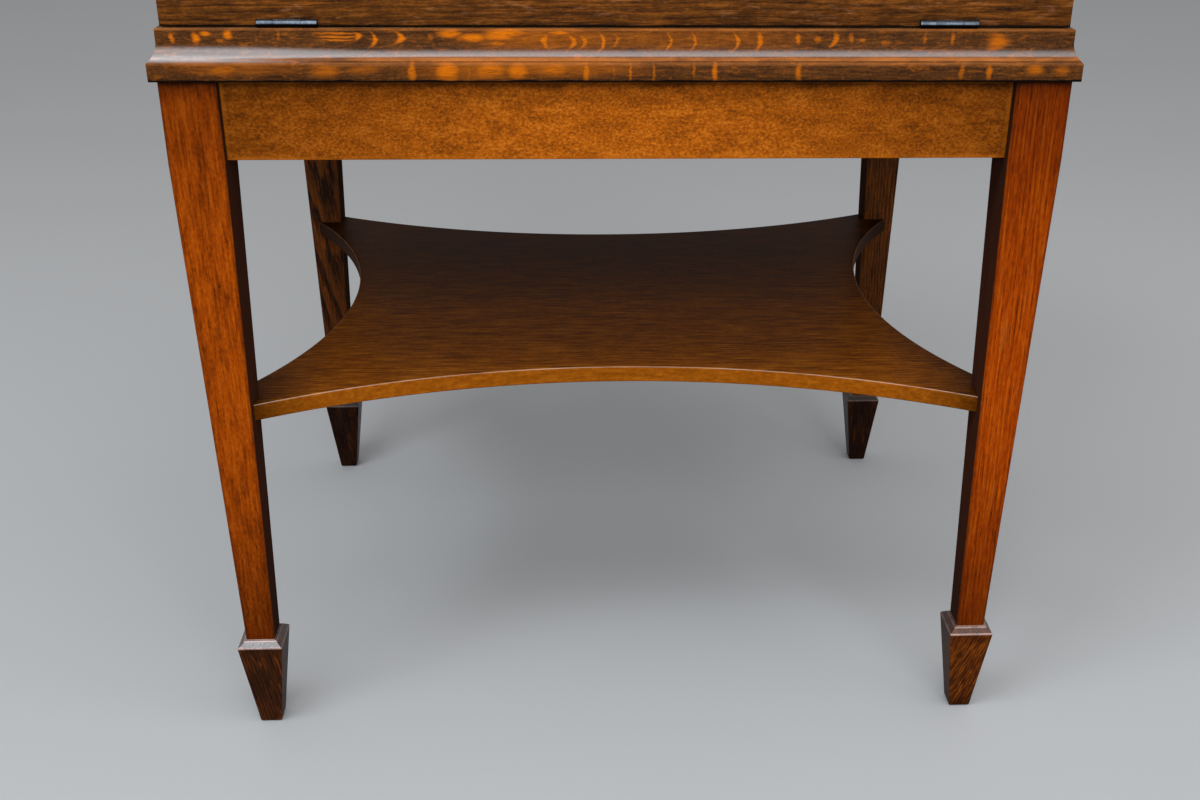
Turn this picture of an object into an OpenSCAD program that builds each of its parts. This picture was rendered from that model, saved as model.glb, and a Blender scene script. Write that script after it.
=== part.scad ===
// Oak cutlery cabinet: a shallow chest with a rising lid and a fall front, on a stand with
// tapered legs, spade feet and a hollow-sided shelf. Millimetres, +Z up, front towards -Y,
// origin on the floor under the middle of the cabinet.

/* [Stand] */
// Width over the outside faces of the legs
stand_w = 610; // [520:5:760]
// Depth over the outside faces of the legs
stand_d = 500; // [430:5:620]
// Height of the top of the legs above the floor
leg_h = 523.5; // [460:0.5:600]
// Width of a leg beside the aprons
leg_w = 38; // [34:0.5:44]
// Width of a leg where it meets its foot
ankle_w = 22.4; // [20:0.2:28]
// Height of the aprons
apron_h = 54.5; // [44:0.5:70]
// Thickness of the aprons
apron_t = 18; // [14:0.5:22]
// Distance of the apron faces behind the leg faces
apron_recess = 6.5; // [3:0.5:8]
// Length of the tenons on the aprons
tenon_l = 14; // [8:0.5:15]
// Thickness of the tenons on the aprons
tenon_t = 8; // [6:0.5:9]
// Shoulder above and below each apron tenon
tenon_shoulder = 9; // [6:0.5:14]

/* [Feet] */
// Height of a spade foot
foot_h = 82; // [60:1:110]
// Height of the bevel on top of a foot
foot_bevel = 4.8; // [3:0.2:10]
// Width of a foot at its shoulder
foot_w = 35; // [30:0.5:42]
// Width of a foot at the floor
toe_w = 17; // [14:0.5:26]
// Chamfer round the sole of a foot
toe_chamfer = 1.2; // [0.6:0.2:3]
// Diameter of the round tenon under a leg
foot_tenon_d = 12; // [8:0.5:14]
// Length of the round tenon under a leg
foot_tenon_l = 26; // [16:1:36]

/* [Shelf] */
// Height of the top of the shelf above the floor
shelf_z = 284.5; // [220:0.5:340]
// Thickness of the shelf
shelf_t = 13; // [10:0.5:20]
// Depth of the hollow in each side of the shelf
shelf_hollow = 66; // [30:1:90]
// Length of the shelf's tips along the legs
shelf_tip = 22; // [16:0.5:26]
// Radius of the shelf's upper edge
shelf_round = 2.5; // [1:0.1:4]
// Diameter of the dowels that pin the shelf to the legs
dowel_d = 6; // [4:0.5:8]
// Length of the shelf dowels
dowel_l = 32; // [26:1:40]

/* [Moulding] */
// Height of the moulding between stand and chest
mould_h = 33.5; // [28:0.5:42]
// Height of the flat fillet at the foot of the moulding
fillet_h = 12; // [6:0.5:14]
// Overhang of the fillet past the leg faces
fillet_overhang = 4.4; // [2:0.2:8]
// Height at which the hollow runs out into the upright
hollow_top = 25; // [21:0.5:27]
// Ledge of the moulding in front of the chest
ledge = 3; // [2:0.2:5]
// Radius of the moulding's upper edge
mould_ease = 1; // [0.4:0.1:1.6]
// Width of the frame rails behind the moulding
rail_w = 34; // [30:1:50]

/* [Chest] */
// Distance of the chest faces behind the leg faces
chest_inset = 5; // [3:0.5:10]
// Height of the chest case above the moulding
case_h = 185; // [150:5:260]
// Thickness of the chest sides
side_t = 14; // [11:0.5:18]
// Thickness of the chest back
back_t = 14; // [12:0.5:18]
// Thickness of the chest bottom
bottom_t = 18.5; // [18.5:0.5:24]
// Depth of the well under the lid
well_depth = 38; // [26:1:60]
// Thickness of the board under the well
well_t = 8; // [6:0.5:12]
// Thickness of the rail in front of the well
well_rail_t = 12; // [9:0.5:16]
// Depth of the grooves that hold the well board
groove = 5; // [3:0.5:7]

/* [Lid and flap] */
// Thickness of the lid
lid_t = 20; // [16:0.5:28]
// Overhang of the lid past the front and sides
lid_overhang = 6; // [2:0.5:12]
// Radius of the lid's upper edge
lid_round = 7; // [3:0.5:12]
// Thickness of the flap
flap_t = 15; // [14:0.5:15]
// Gap between the flap and the moulding under it
flap_gap = 0.6; // [0.4:0.1:1]
// Distance from an end of the flap to the middle of its hinge
flap_hinge_end = 82; // [50:1:150]
// Distance from an end of the chest to the middle of a lid hinge
lid_hinge_end = 100; // [50:1:150]

/* [Flap hinges] */
// Length of a flap hinge
flap_hinge_l = 39; // [30:1:50]
// Length of the middle knuckle of a flap hinge
flap_knuckle_l = 18; // [12:1:22]
// Radius of the knuckles of a flap hinge
flap_knuckle_r = 2.3; // [2:0.1:2.4]
// Diameter of a flap hinge pin
flap_pin_d = 2; // [1.4:0.1:2.4]
// Height of the flap hinge pin above the moulding
flap_pin_rise = 2.6; // [2.6:0.1:3]
// Width of the leaves of a flap hinge
flap_leaf_w = 12; // [10:0.5:13]
// Half the gap between the leaves of a flap hinge
flap_leaf_gap = 0.5; // [0.4:0.1:0.8]

/* [Lid hinges] */
// Length of a lid hinge
lid_hinge_l = 50; // [40:1:70]
// Length of the middle knuckle of a lid hinge
lid_knuckle_l = 20; // [14:1:24]
// Radius of the knuckles of a lid hinge
lid_knuckle_r = 2.8; // [2.5:0.1:3.5]
// Diameter of a lid hinge pin
lid_pin_d = 2.4; // [1.8:0.1:3]
// Thickness of the leaves of a lid hinge
lid_leaf_t = 2; // [1.6:0.1:2.2]
// Width of the leaves of a lid hinge
lid_leaf_w = 10; // [9:0.5:11]

/* [Screws] */
// Diameter of the screw heads
screw_head_d = 4.4; // [3.6:0.2:5]
// Diameter of the screw shanks
screw_d = 2.2; // [1.6:0.2:2.6]
// Length of the screws
screw_l = 11; // [8:0.5:12]
// Distance from an end of a leaf to its outer screws
screw_end = 7; // [5:0.5:9]

/* [Lock] */
// Width of the lock case
lock_w = 48; // [36:1:60]
// Height of the lock case
lock_h = 34; // [32:1:44]
// Thickness of the lock case
lock_t = 9; // [8.5:0.5:10]
// Thickness of the lock case under its bolt
lock_floor = 3; // [2:0.5:5]
// Height of the keyhole above the foot of the lock case
key_rise = 8; // [7:0.5:12]
// Width of the bolt
bolt_w = 12; // [8:0.5:16]
// Thickness of the bolt
bolt_t = 4; // [3:0.2:5]
// Length of the bolt
bolt_l = 20; // [16:0.5:22]
// Travel of the bolt
bolt_throw = 5; // [3:0.5:6]
// Diameter of the escutcheon
escutcheon_d = 17; // [12:0.5:22]
// Thickness of the escutcheon
escutcheon_t = 1.2; // [0.8:0.1:2]
// Diameter of the keyhole
keyhole_d = 4; // [3:0.2:5]

/* [Drawers] */
// Distance of the drawer fronts behind the edge of the case
drawer_setback = 20; // [18:0.5:30]
// Thickness of the drawer fronts
drawer_front_t = 14; // [11:0.5:18]
// Thickness of the drawer sides
drawer_side_t = 10; // [9:0.5:12]
// Thickness of the drawer backs
drawer_back_t = 8; // [6:0.5:12]
// Thickness of the drawer bottoms
drawer_bottom_t = 5; // [4:0.5:7]
// Height of the drawer bottoms above the lower edges
drawer_lip = 5; // [4:0.5:8]
// Gap at the top and the sides of a drawer
drawer_gap = 1; // [0.6:0.1:2]
// Gap behind a drawer
drawer_stop = 2; // [1:0.5:6]
// Depth of the grooves that hold the drawer bottoms
drawer_groove = 4; // [3:0.5:5]
// Height of the runners
runner_h = 7; // [5:0.5:9]
// Depth of the runners
runner_t = 5; // [4:0.5:6]
// Height of the runners above the middle of the drawers
runner_rise = 4; // [0:0.5:8]
// Distance from an end of a drawer to its knob
knob_end = 135; // [60:5:180]
// Diameter of the ball of a knob
knob_d = 12.5; // [9:0.5:14]
// Length of a knob
knob_l = 16; // [14:0.5:17]
// Diameter of the foot of a knob
knob_foot_d = 10; // [8:0.5:14]
// Thickness of the foot of a knob
knob_foot_t = 1.2; // [0.8:0.1:2]
// Diameter of the neck of a knob
knob_neck_d = 6; // [4.5:0.5:7]
// Diameter of the stud behind a knob
knob_stud_d = 4; // [3:0.5:4]
// Length of the stud behind a knob
knob_stud_l = 9; // [6:0.5:9.5]

/* [Cutlery racks] */
// Height of the racks
rack_h = 24; // [16:1:25]
// Thickness of the racks
rack_t = 12; // [8:0.5:20]
// Distance from one slot to the next
slot_pitch = 26; // [18:1:40]
// Width of a slot
slot_w = 7; // [4:0.5:12]
// Depth of a slot
slot_depth = 12; // [6:0.5:14]
// Distance from the middle of a drawer to each rack
rack_y = 95; // [50:5:140]

/* [Hidden] */
$fn = 64;
// Clearance round glued joints
fit = 0.1;
// Clearance between parts that slide or swing past each other
play = 0.3;
// Running clearance round a hinge pin
pin_play = 0.04;
// Overrun of a cutting shape past the face that it opens
cut = 1;

leg_x = (stand_w - leg_w) / 2;
leg_y = (stand_d - leg_w) / 2;
taper_top = leg_h - apron_h;

chest_w = stand_w - 2 * chest_inset;
chest_d = stand_d - 2 * chest_inset;
base_top = leg_h + mould_h;
case_top = base_top + case_h;
lid_z = case_top + play;
inner_w = chest_w - 2 * side_t;
back_y = chest_d / 2 - back_t;

flap_face = -chest_d / 2;
flap_back = flap_face + flap_t;
flap_bottom = base_top + flap_gap;
flap_pin_z = base_top + flap_pin_rise;
// The back corners of the flap swing in these radii about the pin
heel_swing = norm([flap_t, flap_pin_rise - flap_gap]);
case_front = flap_face + heel_swing + play;
head_rise = norm([flap_t, lid_z - flap_pin_z]) - (lid_z - flap_pin_z);
flap_top = lid_z - head_rise - 2 * play;
flap_leaf_y = flap_knuckle_r + play;
flap_hinge_x = chest_w / 2 - flap_hinge_end;
lid_hinge_x = chest_w / 2 - lid_hinge_end;
lid_pin_y = chest_d / 2 + lid_knuckle_r + play;
lid_pin_z = case_top + play / 2;

fillet_out = chest_inset + fillet_overhang;
hollow_in = fillet_out - ledge;
hollow_up = hollow_top - fillet_h;
hollow_r = (hollow_in * hollow_in + hollow_up * hollow_up) / (2 * hollow_in);

leg_at_shelf = ankle_w / 2 + (leg_w - ankle_w) / 2 * (shelf_z - foot_h) / (taper_top - foot_h);
shelf_in_x = leg_x - leg_at_shelf;
shelf_in_y = leg_y - leg_at_shelf;
// Distance of a shelf dowel's end from the axis of its leg
dowel_start = 9;
// The shelf's rounded edge meets its faces at a slight angle, by this ratio of radii
edge_bite = 1.08;

floor_top = base_top + bottom_t;
well_z = case_top - well_depth;
well_front_y = case_front + well_rail_t;
bay_h = (well_z - well_t - floor_top) / 2;
drawer_h = bay_h - drawer_gap - play;
drawer_w = inner_w - 2 * drawer_gap;
drawer_front_y = case_front + drawer_setback;
drawer_back_y = back_y - drawer_stop;
drawer_inner_w = drawer_w - 2 * drawer_side_t;
runner_z = (drawer_h - runner_h) / 2 + runner_rise;
knob_x = drawer_w / 2 - knob_end;
slot_count = floor((drawer_inner_w - slot_pitch) / slot_pitch);
well_slot_count = floor((inner_w - slot_pitch) / slot_pitch);

key_z = flap_top - lock_h + key_rise;
keyhole_slot_w = keyhole_d / 2;
keyhole_slot_l = keyhole_d * 1.5;

oak = "#8a5630";
oak_dark = "#5d341c";
oak_gold = "#a06d3c";
oak_pale = "#b58a56";
steel = "#8f8c86";
brass = "#b9954a";
baize = "#2c5c3e";

// Square block that tapers evenly from one width to another
module taper(w_low, w_high, h) {
    linear_extrude(height = h, scale = w_high / w_low) square(w_low, center = true);
}

// Tapered part of a leg, larger all round by extra
module leg_taper(extra) {
    translate([0, 0, foot_h]) taper(ankle_w + 2 * extra, leg_w + 2 * extra, taper_top - foot_h);
}

// Tenon of an apron, along +X from its shoulder, larger all round by extra
module apron_tenon(extra) {
    translate([-cut, -tenon_t / 2 - extra, tenon_shoulder - extra])
        cube([tenon_l + cut + extra, tenon_t + 2 * extra, apron_h - 2 * tenon_shoulder + 2 * extra]);
}

// Mortises for the two aprons that meet in a leg, for a leg whose outer faces are at -X and -Y
module leg_mortises() {
    mid = -leg_w / 2 + apron_recess + apron_t / 2;
    translate([leg_w / 2, mid, taper_top]) mirror([1, 0, 0]) apron_tenon(fit);
    translate([mid, leg_w / 2, taper_top]) rotate([0, 0, -90]) apron_tenon(fit);
}

// Dowel that runs from a leg's axis towards the middle of the shelf
module corner_dowel(extra) {
    translate([0, 0, shelf_z - shelf_t / 2])
        rotate([0, 90, 45])
            translate([0, 0, dowel_start - extra])
                cylinder(d = dowel_d + 2 * extra, h = dowel_l + 2 * extra);
}

module leg(side, depth) {
    color(oak)
        translate([side * leg_x, depth * leg_y, 0])
            mirror([side > 0 ? 1 : 0, 0, 0])
                mirror([0, depth > 0 ? 1 : 0, 0])
                    difference() {
                        union() {
                            translate([-leg_w / 2, -leg_w / 2, taper_top]) cube([leg_w, leg_w, apron_h]);
                            leg_taper(0);
                            translate([0, 0, foot_h - foot_tenon_l])
                                cylinder(d = foot_tenon_d, h = foot_tenon_l + cut);
                        }
                        leg_mortises();
                        corner_dowel(fit);
                    }
}

module foot(side, depth) {
    shoulder_z = foot_h - foot_bevel;
    color(oak_dark)
        translate([side * leg_x, depth * leg_y, 0])
            difference() {
                union() {
                    taper(toe_w - 2 * toe_chamfer, toe_w, toe_chamfer);
                    translate([0, 0, toe_chamfer]) taper(toe_w, foot_w, shoulder_z - toe_chamfer);
                    translate([0, 0, shoulder_z]) taper(foot_w, ankle_w, foot_bevel);
                }
                translate([0, 0, foot_h - foot_tenon_l - fit])
                    cylinder(d = foot_tenon_d + 2 * fit, h = foot_tenon_l + fit + cut);
            }
}

// Apron along X that faces -Y, between legs that stand span apart
module apron(span, face) {
    color(oak_gold) {
        translate([-span / 2, -face + apron_recess, taper_top]) cube([span, apron_t, apron_h]);
        for (end = [0, 1]) {
            mirror([end, 0, 0])
                translate([span / 2, -face + apron_recess + apron_t / 2, taper_top]) apron_tenon(0);
        }
    }
}

// Round hollow with its middle at -Y, which also rounds the shelf's upper edge
module shelf_hollow_cutter(half_chord, tip_y) {
    r = (half_chord * half_chord + shelf_hollow * shelf_hollow) / (2 * shelf_hollow);
    translate([0, -tip_y + shelf_hollow - r, shelf_z - shelf_t]) {
        translate([0, 0, -cut]) cylinder(r = r, h = shelf_t + 2 * cut, $fn = 180);
        rotate_extrude($fn = 180)
            translate([r, shelf_t - shelf_round])
                difference() {
                    translate([-cut, 0]) square(shelf_round + cut);
                    translate([shelf_round, 0]) circle(r = shelf_round * edge_bite, $fn = 32);
                }
    }
}

module shelf() {
    half_w = shelf_in_x + shelf_tip;
    half_d = shelf_in_y + shelf_tip;
    color(oak)
        difference() {
            translate([-half_w, -half_d, shelf_z - shelf_t]) cube([2 * half_w, 2 * half_d, shelf_t]);
            for (turn = [0, 180]) {
                rotate([0, 0, turn]) shelf_hollow_cutter(shelf_in_x, half_d);
                rotate([0, 0, turn + 90]) shelf_hollow_cutter(shelf_in_y, half_w);
            }
            for (side = [0, 1], depth = [0, 1]) {
                mirror([side, 0, 0]) mirror([0, depth, 0]) translate([-leg_x, -leg_y, 0]) {
                    leg_taper(fit);
                    corner_dowel(fit);
                }
            }
        }
}

module shelf_dowels() {
    color(oak_pale)
        for (side = [0, 1], depth = [0, 1]) {
            mirror([side, 0, 0]) mirror([0, depth, 0]) translate([-leg_x, -leg_y, 0]) corner_dowel(0);
        }
}

module frame_rail_long(depth) {
    y = depth > 0 ? chest_d / 2 - rail_w : -chest_d / 2;
    color(oak_pale)
        difference() {
            translate([-chest_w / 2, y, leg_h]) cube([chest_w, rail_w, mould_h]);
            if (depth < 0) flap_hinge_pilots(-1);
        }
}

module frame_rail_short(side) {
    x = side > 0 ? chest_w / 2 - rail_w : -chest_w / 2;
    color(oak_pale)
        translate([x, -chest_d / 2 + rail_w, leg_h]) cube([rail_w, chest_d - 2 * rail_w, mould_h]);
}

// Section of the moulding: x is the distance out from the chest and y the height
module moulding_section() {
    difference() {
        polygon([
            [0, 0], [fillet_out, 0], [fillet_out, fillet_h],
            [ledge, hollow_top], [ledge, mould_h], [0, mould_h]
        ]);
        translate([ledge + hollow_r, hollow_top]) circle(r = hollow_r, $fn = 128);
        translate([ledge - mould_ease, mould_h - mould_ease])
            difference() {
                square(mould_ease + cut);
                circle(r = mould_ease, $fn = 32);
            }
    }
}

// Mitred length of moulding that faces -Y, on a chest face of the given length
module moulding(length, face) {
    out = fillet_out;
    color(oak)
        intersection() {
            translate([-length / 2 - out, -face, leg_h])
                rotate([90, 0, 90])
                    linear_extrude(length + 2 * out) mirror([1, 0]) moulding_section();
            translate([0, 0, leg_h - cut])
                linear_extrude(mould_h + 2 * cut)
                    polygon([
                        [-length / 2, -face], [length / 2, -face],
                        [length / 2 + out, -face - out], [-length / 2 - out, -face - out]
                    ]);
        }
}

module chest_bottom() {
    color(oak_pale)
        translate([-inner_w / 2, case_front, base_top]) cube([inner_w, back_y - case_front, bottom_t]);
}

module chest_side(side) {
    color(oak)
        mirror([side > 0 ? 1 : 0, 0, 0])
            difference() {
                translate([-chest_w / 2, case_front, base_top])
                    cube([side_t, chest_d / 2 - case_front, case_h]);
                translate([-inner_w / 2 - groove - fit, case_front - cut, well_z - well_t - fit])
                    cube([groove + fit + cut, back_y - case_front + cut + fit, well_t + 2 * fit]);
            }
}

module chest_back() {
    color(oak)
        difference() {
            translate([-inner_w / 2, back_y, base_top]) cube([inner_w, back_t, case_h]);
            lid_hinge_mortises(-1);
            lid_hinge_pilots(-1);
        }
}

module well_board() {
    color(oak_pale)
        translate([-inner_w / 2 - groove, case_front, well_z - well_t])
            cube([inner_w + 2 * groove, back_y - case_front, well_t]);
}

module well_rail() {
    color(oak)
        translate([-inner_w / 2, case_front, well_z]) cube([inner_w, well_rail_t, well_depth]);
}

// Slotted bar along X with its foot at z = 0 and its middle at the origin
module rack_bar(length, slots) {
    difference() {
        translate([-length / 2, -rack_t / 2, 0]) cube([length, rack_t, rack_h]);
        for (i = [0 : slots - 1]) {
            x = (i - (slots - 1) / 2) * slot_pitch;
            translate([x - slot_w / 2, -rack_t / 2 - cut, rack_h - slot_depth + slot_w / 2])
                cube([slot_w, rack_t + 2 * cut, slot_depth]);
            translate([x, -rack_t / 2 - cut, rack_h - slot_depth + slot_w / 2])
                rotate([-90, 0, 0])
                    cylinder(d = slot_w, h = rack_t + 2 * cut, $fn = 24);
        }
    }
}

module well_racks() {
    mid_y = (well_front_y + back_y) / 2;
    color(baize)
        for (along = [-1, 1]) {
            translate([0, mid_y + along * rack_y, well_z]) rack_bar(inner_w, well_slot_count);
        }
}

function drawer_z(level) = floor_top + play + level * bay_h;

module drawer_runners() {
    front = drawer_front_y + drawer_front_t + play;
    color(oak_pale)
        for (side = [0, 1], level = [0, 1]) {
            mirror([side, 0, 0])
                translate([-inner_w / 2, front, drawer_z(level) + runner_z])
                    cube([runner_t, back_y - front, runner_h]);
        }
}

module drawer_front(level) {
    groove_w = drawer_inner_w + 2 * drawer_groove + 2 * fit;
    color(oak)
        translate([0, drawer_front_y, drawer_z(level)])
            difference() {
                translate([-drawer_w / 2, 0, 0]) cube([drawer_w, drawer_front_t, drawer_h]);
                translate([-groove_w / 2, drawer_front_t - drawer_groove - fit, drawer_lip - fit])
                    cube([groove_w, drawer_groove + fit + cut, drawer_bottom_t + 2 * fit]);
                for (side = [-1, 1]) {
                    translate([side * knob_x, -cut, drawer_h / 2])
                        rotate([-90, 0, 0]) cylinder(d = knob_stud_d + 2 * fit, h = knob_stud_l + fit + cut);
                }
            }
}

module drawer_side(side, level) {
    length = drawer_back_y - drawer_front_y - drawer_front_t;
    color(oak_pale)
        mirror([side > 0 ? 1 : 0, 0, 0])
            translate([-drawer_w / 2, drawer_front_y + drawer_front_t, drawer_z(level)])
                difference() {
                    cube([drawer_side_t, length, drawer_h]);
                    translate([drawer_side_t - drawer_groove - fit, -cut, drawer_lip - fit])
                        cube([drawer_groove + fit + cut, length + 2 * cut, drawer_bottom_t + 2 * fit]);
                    translate([-cut, -cut, runner_z - play])
                        cube([runner_t - drawer_gap + play + cut, length + 2 * cut, runner_h + 2 * play]);
                }
}

module drawer_back(level) {
    low = drawer_lip + drawer_bottom_t + fit;
    color(oak_pale)
        translate([-drawer_inner_w / 2, drawer_back_y - drawer_back_t, drawer_z(level) + low])
            cube([drawer_inner_w, drawer_back_t, drawer_h - low]);
}

module drawer_bottom(level) {
    front = drawer_front_y + drawer_front_t - drawer_groove;
    color(oak_pale)
        translate([-drawer_inner_w / 2 - drawer_groove, front, drawer_z(level) + drawer_lip])
            cube([drawer_inner_w + 2 * drawer_groove, drawer_back_y - front, drawer_bottom_t]);
}

module drawer_racks(level) {
    mid_y = (drawer_front_y + drawer_front_t + drawer_back_y) / 2;
    color(baize)
        for (along = [-1, 1]) {
            translate([0, mid_y + along * rack_y, drawer_z(level) + drawer_lip + drawer_bottom_t])
                rack_bar(drawer_inner_w - 2 * fit, slot_count);
        }
}

module knob() {
    ball_z = knob_l - knob_d / 2;
    translate([0, 0, -knob_stud_l]) cylinder(d = knob_stud_d, h = knob_stud_l + knob_foot_t);
    cylinder(d = knob_foot_d, h = knob_foot_t);
    cylinder(d = knob_neck_d, h = ball_z);
    translate([0, 0, ball_z]) sphere(d = knob_d);
}

module drawer_knobs() {
    color(brass)
        for (side = [-1, 1], level = [0, 1]) {
            translate([side * knob_x, drawer_front_y, drawer_z(level) + drawer_h / 2])
                rotate([90, 0, 0]) knob();
        }
}

// Two marks along X at the given distance from the middle, one on each side
module both_sides(x) {
    for (side = [-1, 1]) {
        translate([side * x, 0, 0]) children();
    }
}

// Places of the three screws of a leaf of the given length, along X
module screw_places(length, y) {
    for (place = [-1, 0, 1]) {
        translate([place * (length / 2 - screw_end), y, 0]) children();
    }
}

// Countersunk screw that points down from z = 0, larger all round by extra
module screw(extra) {
    head_h = (screw_head_d - screw_d) / 2;
    d1 = screw_d + 2 * extra;
    d2 = screw_head_d + 2 * extra;
    translate([0, 0, -head_h]) cylinder(d1 = d1, d2 = d2, h = head_h);
    if (extra > 0) cylinder(d = d2, h = cut);
    translate([0, 0, -screw_l - extra]) cylinder(d = d1, h = screw_l - head_h + extra + fit);
}

// Screws of the two flap hinges, into the rail below or the flap above
module flap_hinge_screws(way, extra) {
    both_sides(flap_hinge_x)
        screw_places(flap_hinge_l, flap_face + (flap_leaf_y + flap_leaf_w) / 2)
            translate([0, 0, flap_pin_z + way * flap_leaf_gap])
                mirror([0, 0, way > 0 ? 1 : 0])
                    screw(extra);
}

module flap_hinge_pilots(way) {
    flap_hinge_screws(way, fit / 2);
}

// Knuckles along X with their axis at the origin: the middle one, or the two outer ones
module knuckles(inner, length, middle, r) {
    if (inner) {
        knuckle(-middle / 2 + fit, middle / 2 - fit, r);
    } else {
        knuckle(-length / 2, -middle / 2, r);
        knuckle(middle / 2, length / 2, r);
    }
}

module knuckle(x0, x1, r) {
    translate([x0, 0, 0]) rotate([0, 90, 0]) cylinder(r = r, h = x1 - x0);
}

// Leaf of a hinge with its pin at the origin: a plate on the +Y side, above the pin when
// way is 1 and below it when way is -1, joined to its own knuckles and clear of the others
module hinge_leaf(way, inner, length, middle, r, pin_d, low, high, y0, y1) {
    difference() {
        union() {
            knuckles(inner, length, middle, r);
            translate([-length / 2, y0, way > 0 ? low : -high]) cube([length, y1 - y0, high - low]);
            if (inner) {
                translate([-middle / 2 + fit, 0, way > 0 ? low : -high])
                    cube([middle - 2 * fit, y0 + fit, high - low]);
            } else {
                for (end = [0, 1]) {
                    mirror([end, 0, 0])
                        translate([middle / 2, 0, way > 0 ? low : -high])
                            cube([(length - middle) / 2, y0 + fit, high - low]);
                }
            }
        }
        translate([-length / 2 - cut, 0, 0])
            rotate([0, 90, 0])
                cylinder(d = pin_d + 2 * pin_play, h = length + 2 * cut);
    }
}

// Leaf of a flap hinge: way is -1 for the one on the base and 1 for the one on the flap
module flap_hinge_leaf(side, way) {
    color(steel)
        difference() {
            translate([side * flap_hinge_x, flap_face, flap_pin_z])
                hinge_leaf(
                    way, way > 0, flap_hinge_l, flap_knuckle_l, flap_knuckle_r, flap_pin_d,
                    flap_leaf_gap, flap_pin_rise, flap_leaf_y, flap_leaf_w
                );
            flap_hinge_pilots(way);
        }
}

module flap_hinge_pins() {
    color(steel)
        both_sides(flap_hinge_x)
            translate([-flap_hinge_l / 2, flap_face, flap_pin_z])
                rotate([0, 90, 0])
                    cylinder(d = flap_pin_d, h = flap_hinge_l);
}

module flap() {
    color(oak)
        difference() {
            translate([-chest_w / 2, flap_face, flap_bottom])
                cube([chest_w, flap_t, flap_top - flap_bottom]);
            both_sides(flap_hinge_x)
                translate([-flap_hinge_l / 2 - play, flap_face - cut, flap_bottom - cut])
                    cube([
                        flap_hinge_l + 2 * play,
                        flap_leaf_w + cut + play,
                        flap_pin_z + flap_pin_rise - flap_bottom + cut
                    ]);
            flap_hinge_pilots(1);
            translate([-lock_w / 2 - fit, flap_back - lock_t - fit, flap_top - lock_h - fit])
                cube([lock_w + 2 * fit, lock_t + fit + cut, lock_h + fit + cut]);
            keyhole(flap_t);
        }
}

// Keyhole that runs back from the flap's face by the given depth
module keyhole(depth) {
    translate([0, flap_face - 2 * cut, key_z]) {
        rotate([-90, 0, 0]) cylinder(d = keyhole_d, h = depth + 2 * cut);
        translate([-keyhole_slot_w / 2, 0, -keyhole_slot_l])
            cube([keyhole_slot_w, depth + 2 * cut, keyhole_slot_l]);
    }
}

module escutcheon() {
    color(brass)
        difference() {
            translate([0, flap_face, key_z - (keyhole_slot_l - keyhole_d / 2) / 2])
                rotate([90, 0, 0])
                    cylinder(d = escutcheon_d, h = escutcheon_t);
            keyhole(flap_t);
        }
}

module lock_case() {
    mid_y = flap_back - lock_t / 2;
    color(brass)
        difference() {
            translate([-lock_w / 2, flap_back - lock_t, flap_top - lock_h]) cube([lock_w, lock_t, lock_h]);
            translate([-(bolt_w + play) / 2, mid_y - (bolt_t + play) / 2, flap_top - lock_h + lock_floor])
                cube([bolt_w + play, bolt_t + play, lock_h]);
            keyhole(flap_t - lock_t / 2);
        }
}

module lock_bolt() {
    color(brass)
        translate([-bolt_w / 2, flap_back - lock_t / 2 - bolt_t / 2, flap_top - bolt_l])
            cube([bolt_w, bolt_t, bolt_l]);
}

// Screws of the two lid hinges, into the case below or the lid above
module lid_hinge_screws(way, extra) {
    both_sides(lid_hinge_x)
        screw_places(lid_hinge_l, (chest_d - lid_leaf_w) / 2)
            translate([0, 0, lid_pin_z + way * play / 2])
                mirror([0, 0, way > 0 ? 1 : 0])
                    screw(extra);
}

module lid_hinge_pilots(way) {
    lid_hinge_screws(way, fit / 2);
}

// Pockets for the leaves of the lid hinges
module lid_hinge_mortises(way) {
    z = way > 0 ? lid_z - cut : case_top - lid_leaf_t;
    both_sides(lid_hinge_x)
        translate([-lid_hinge_l / 2 - fit, chest_d / 2 - lid_leaf_w - fit, z])
            cube([lid_hinge_l + 2 * fit, lid_leaf_w + fit + cut, lid_leaf_t + cut]);
}

module lid_hinge_leaves(way) {
    color(brass)
        difference() {
            both_sides(lid_hinge_x)
                translate([0, lid_pin_y, lid_pin_z])
                    mirror([0, 1, 0])
                        hinge_leaf(
                            way, way > 0, lid_hinge_l, lid_knuckle_l, lid_knuckle_r, lid_pin_d,
                            play / 2, lid_leaf_t + play / 2, lid_knuckle_r + play,
                            lid_knuckle_r + play + lid_leaf_w
                        );
            lid_hinge_pilots(way);
        }
}

module lid_hinge_pins() {
    color(brass)
        both_sides(lid_hinge_x)
            translate([-lid_hinge_l / 2, lid_pin_y, lid_pin_z])
                rotate([0, 90, 0])
                    cylinder(d = lid_pin_d, h = lid_hinge_l);
}

// Cutter that rounds an upper edge along X, with the edge at the origin and the wood at +Y
module edge_round(length) {
    translate([-length / 2, lid_round, -lid_round])
        rotate([90, 0, 90])
            linear_extrude(length)
                difference() {
                    translate([-lid_round - cut, 0]) square(lid_round + cut);
                    circle(r = lid_round);
                }
}

module lid() {
    lid_w = chest_w + 2 * lid_overhang;
    front = -chest_d / 2 - lid_overhang;
    lid_d = chest_d + lid_overhang;
    color(oak)
        difference() {
            translate([-lid_w / 2, front, lid_z]) cube([lid_w, lid_d, lid_t]);
            translate([0, front, lid_z + lid_t]) edge_round(lid_w + 2 * cut);
            for (side = [-1, 1]) {
                translate([side * lid_w / 2, 0, lid_z + lid_t])
                    rotate([0, 0, side * 90])
                        edge_round(2 * chest_d);
            }
            translate([-bolt_w / 2 - play, flap_back - lock_t / 2 - bolt_t / 2 - play, lid_z - cut])
                cube([bolt_w + 2 * play, bolt_t + 2 * play, bolt_throw + play + cut]);
            lid_hinge_mortises(1);
            lid_hinge_pilots(1);
        }
}

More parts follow.
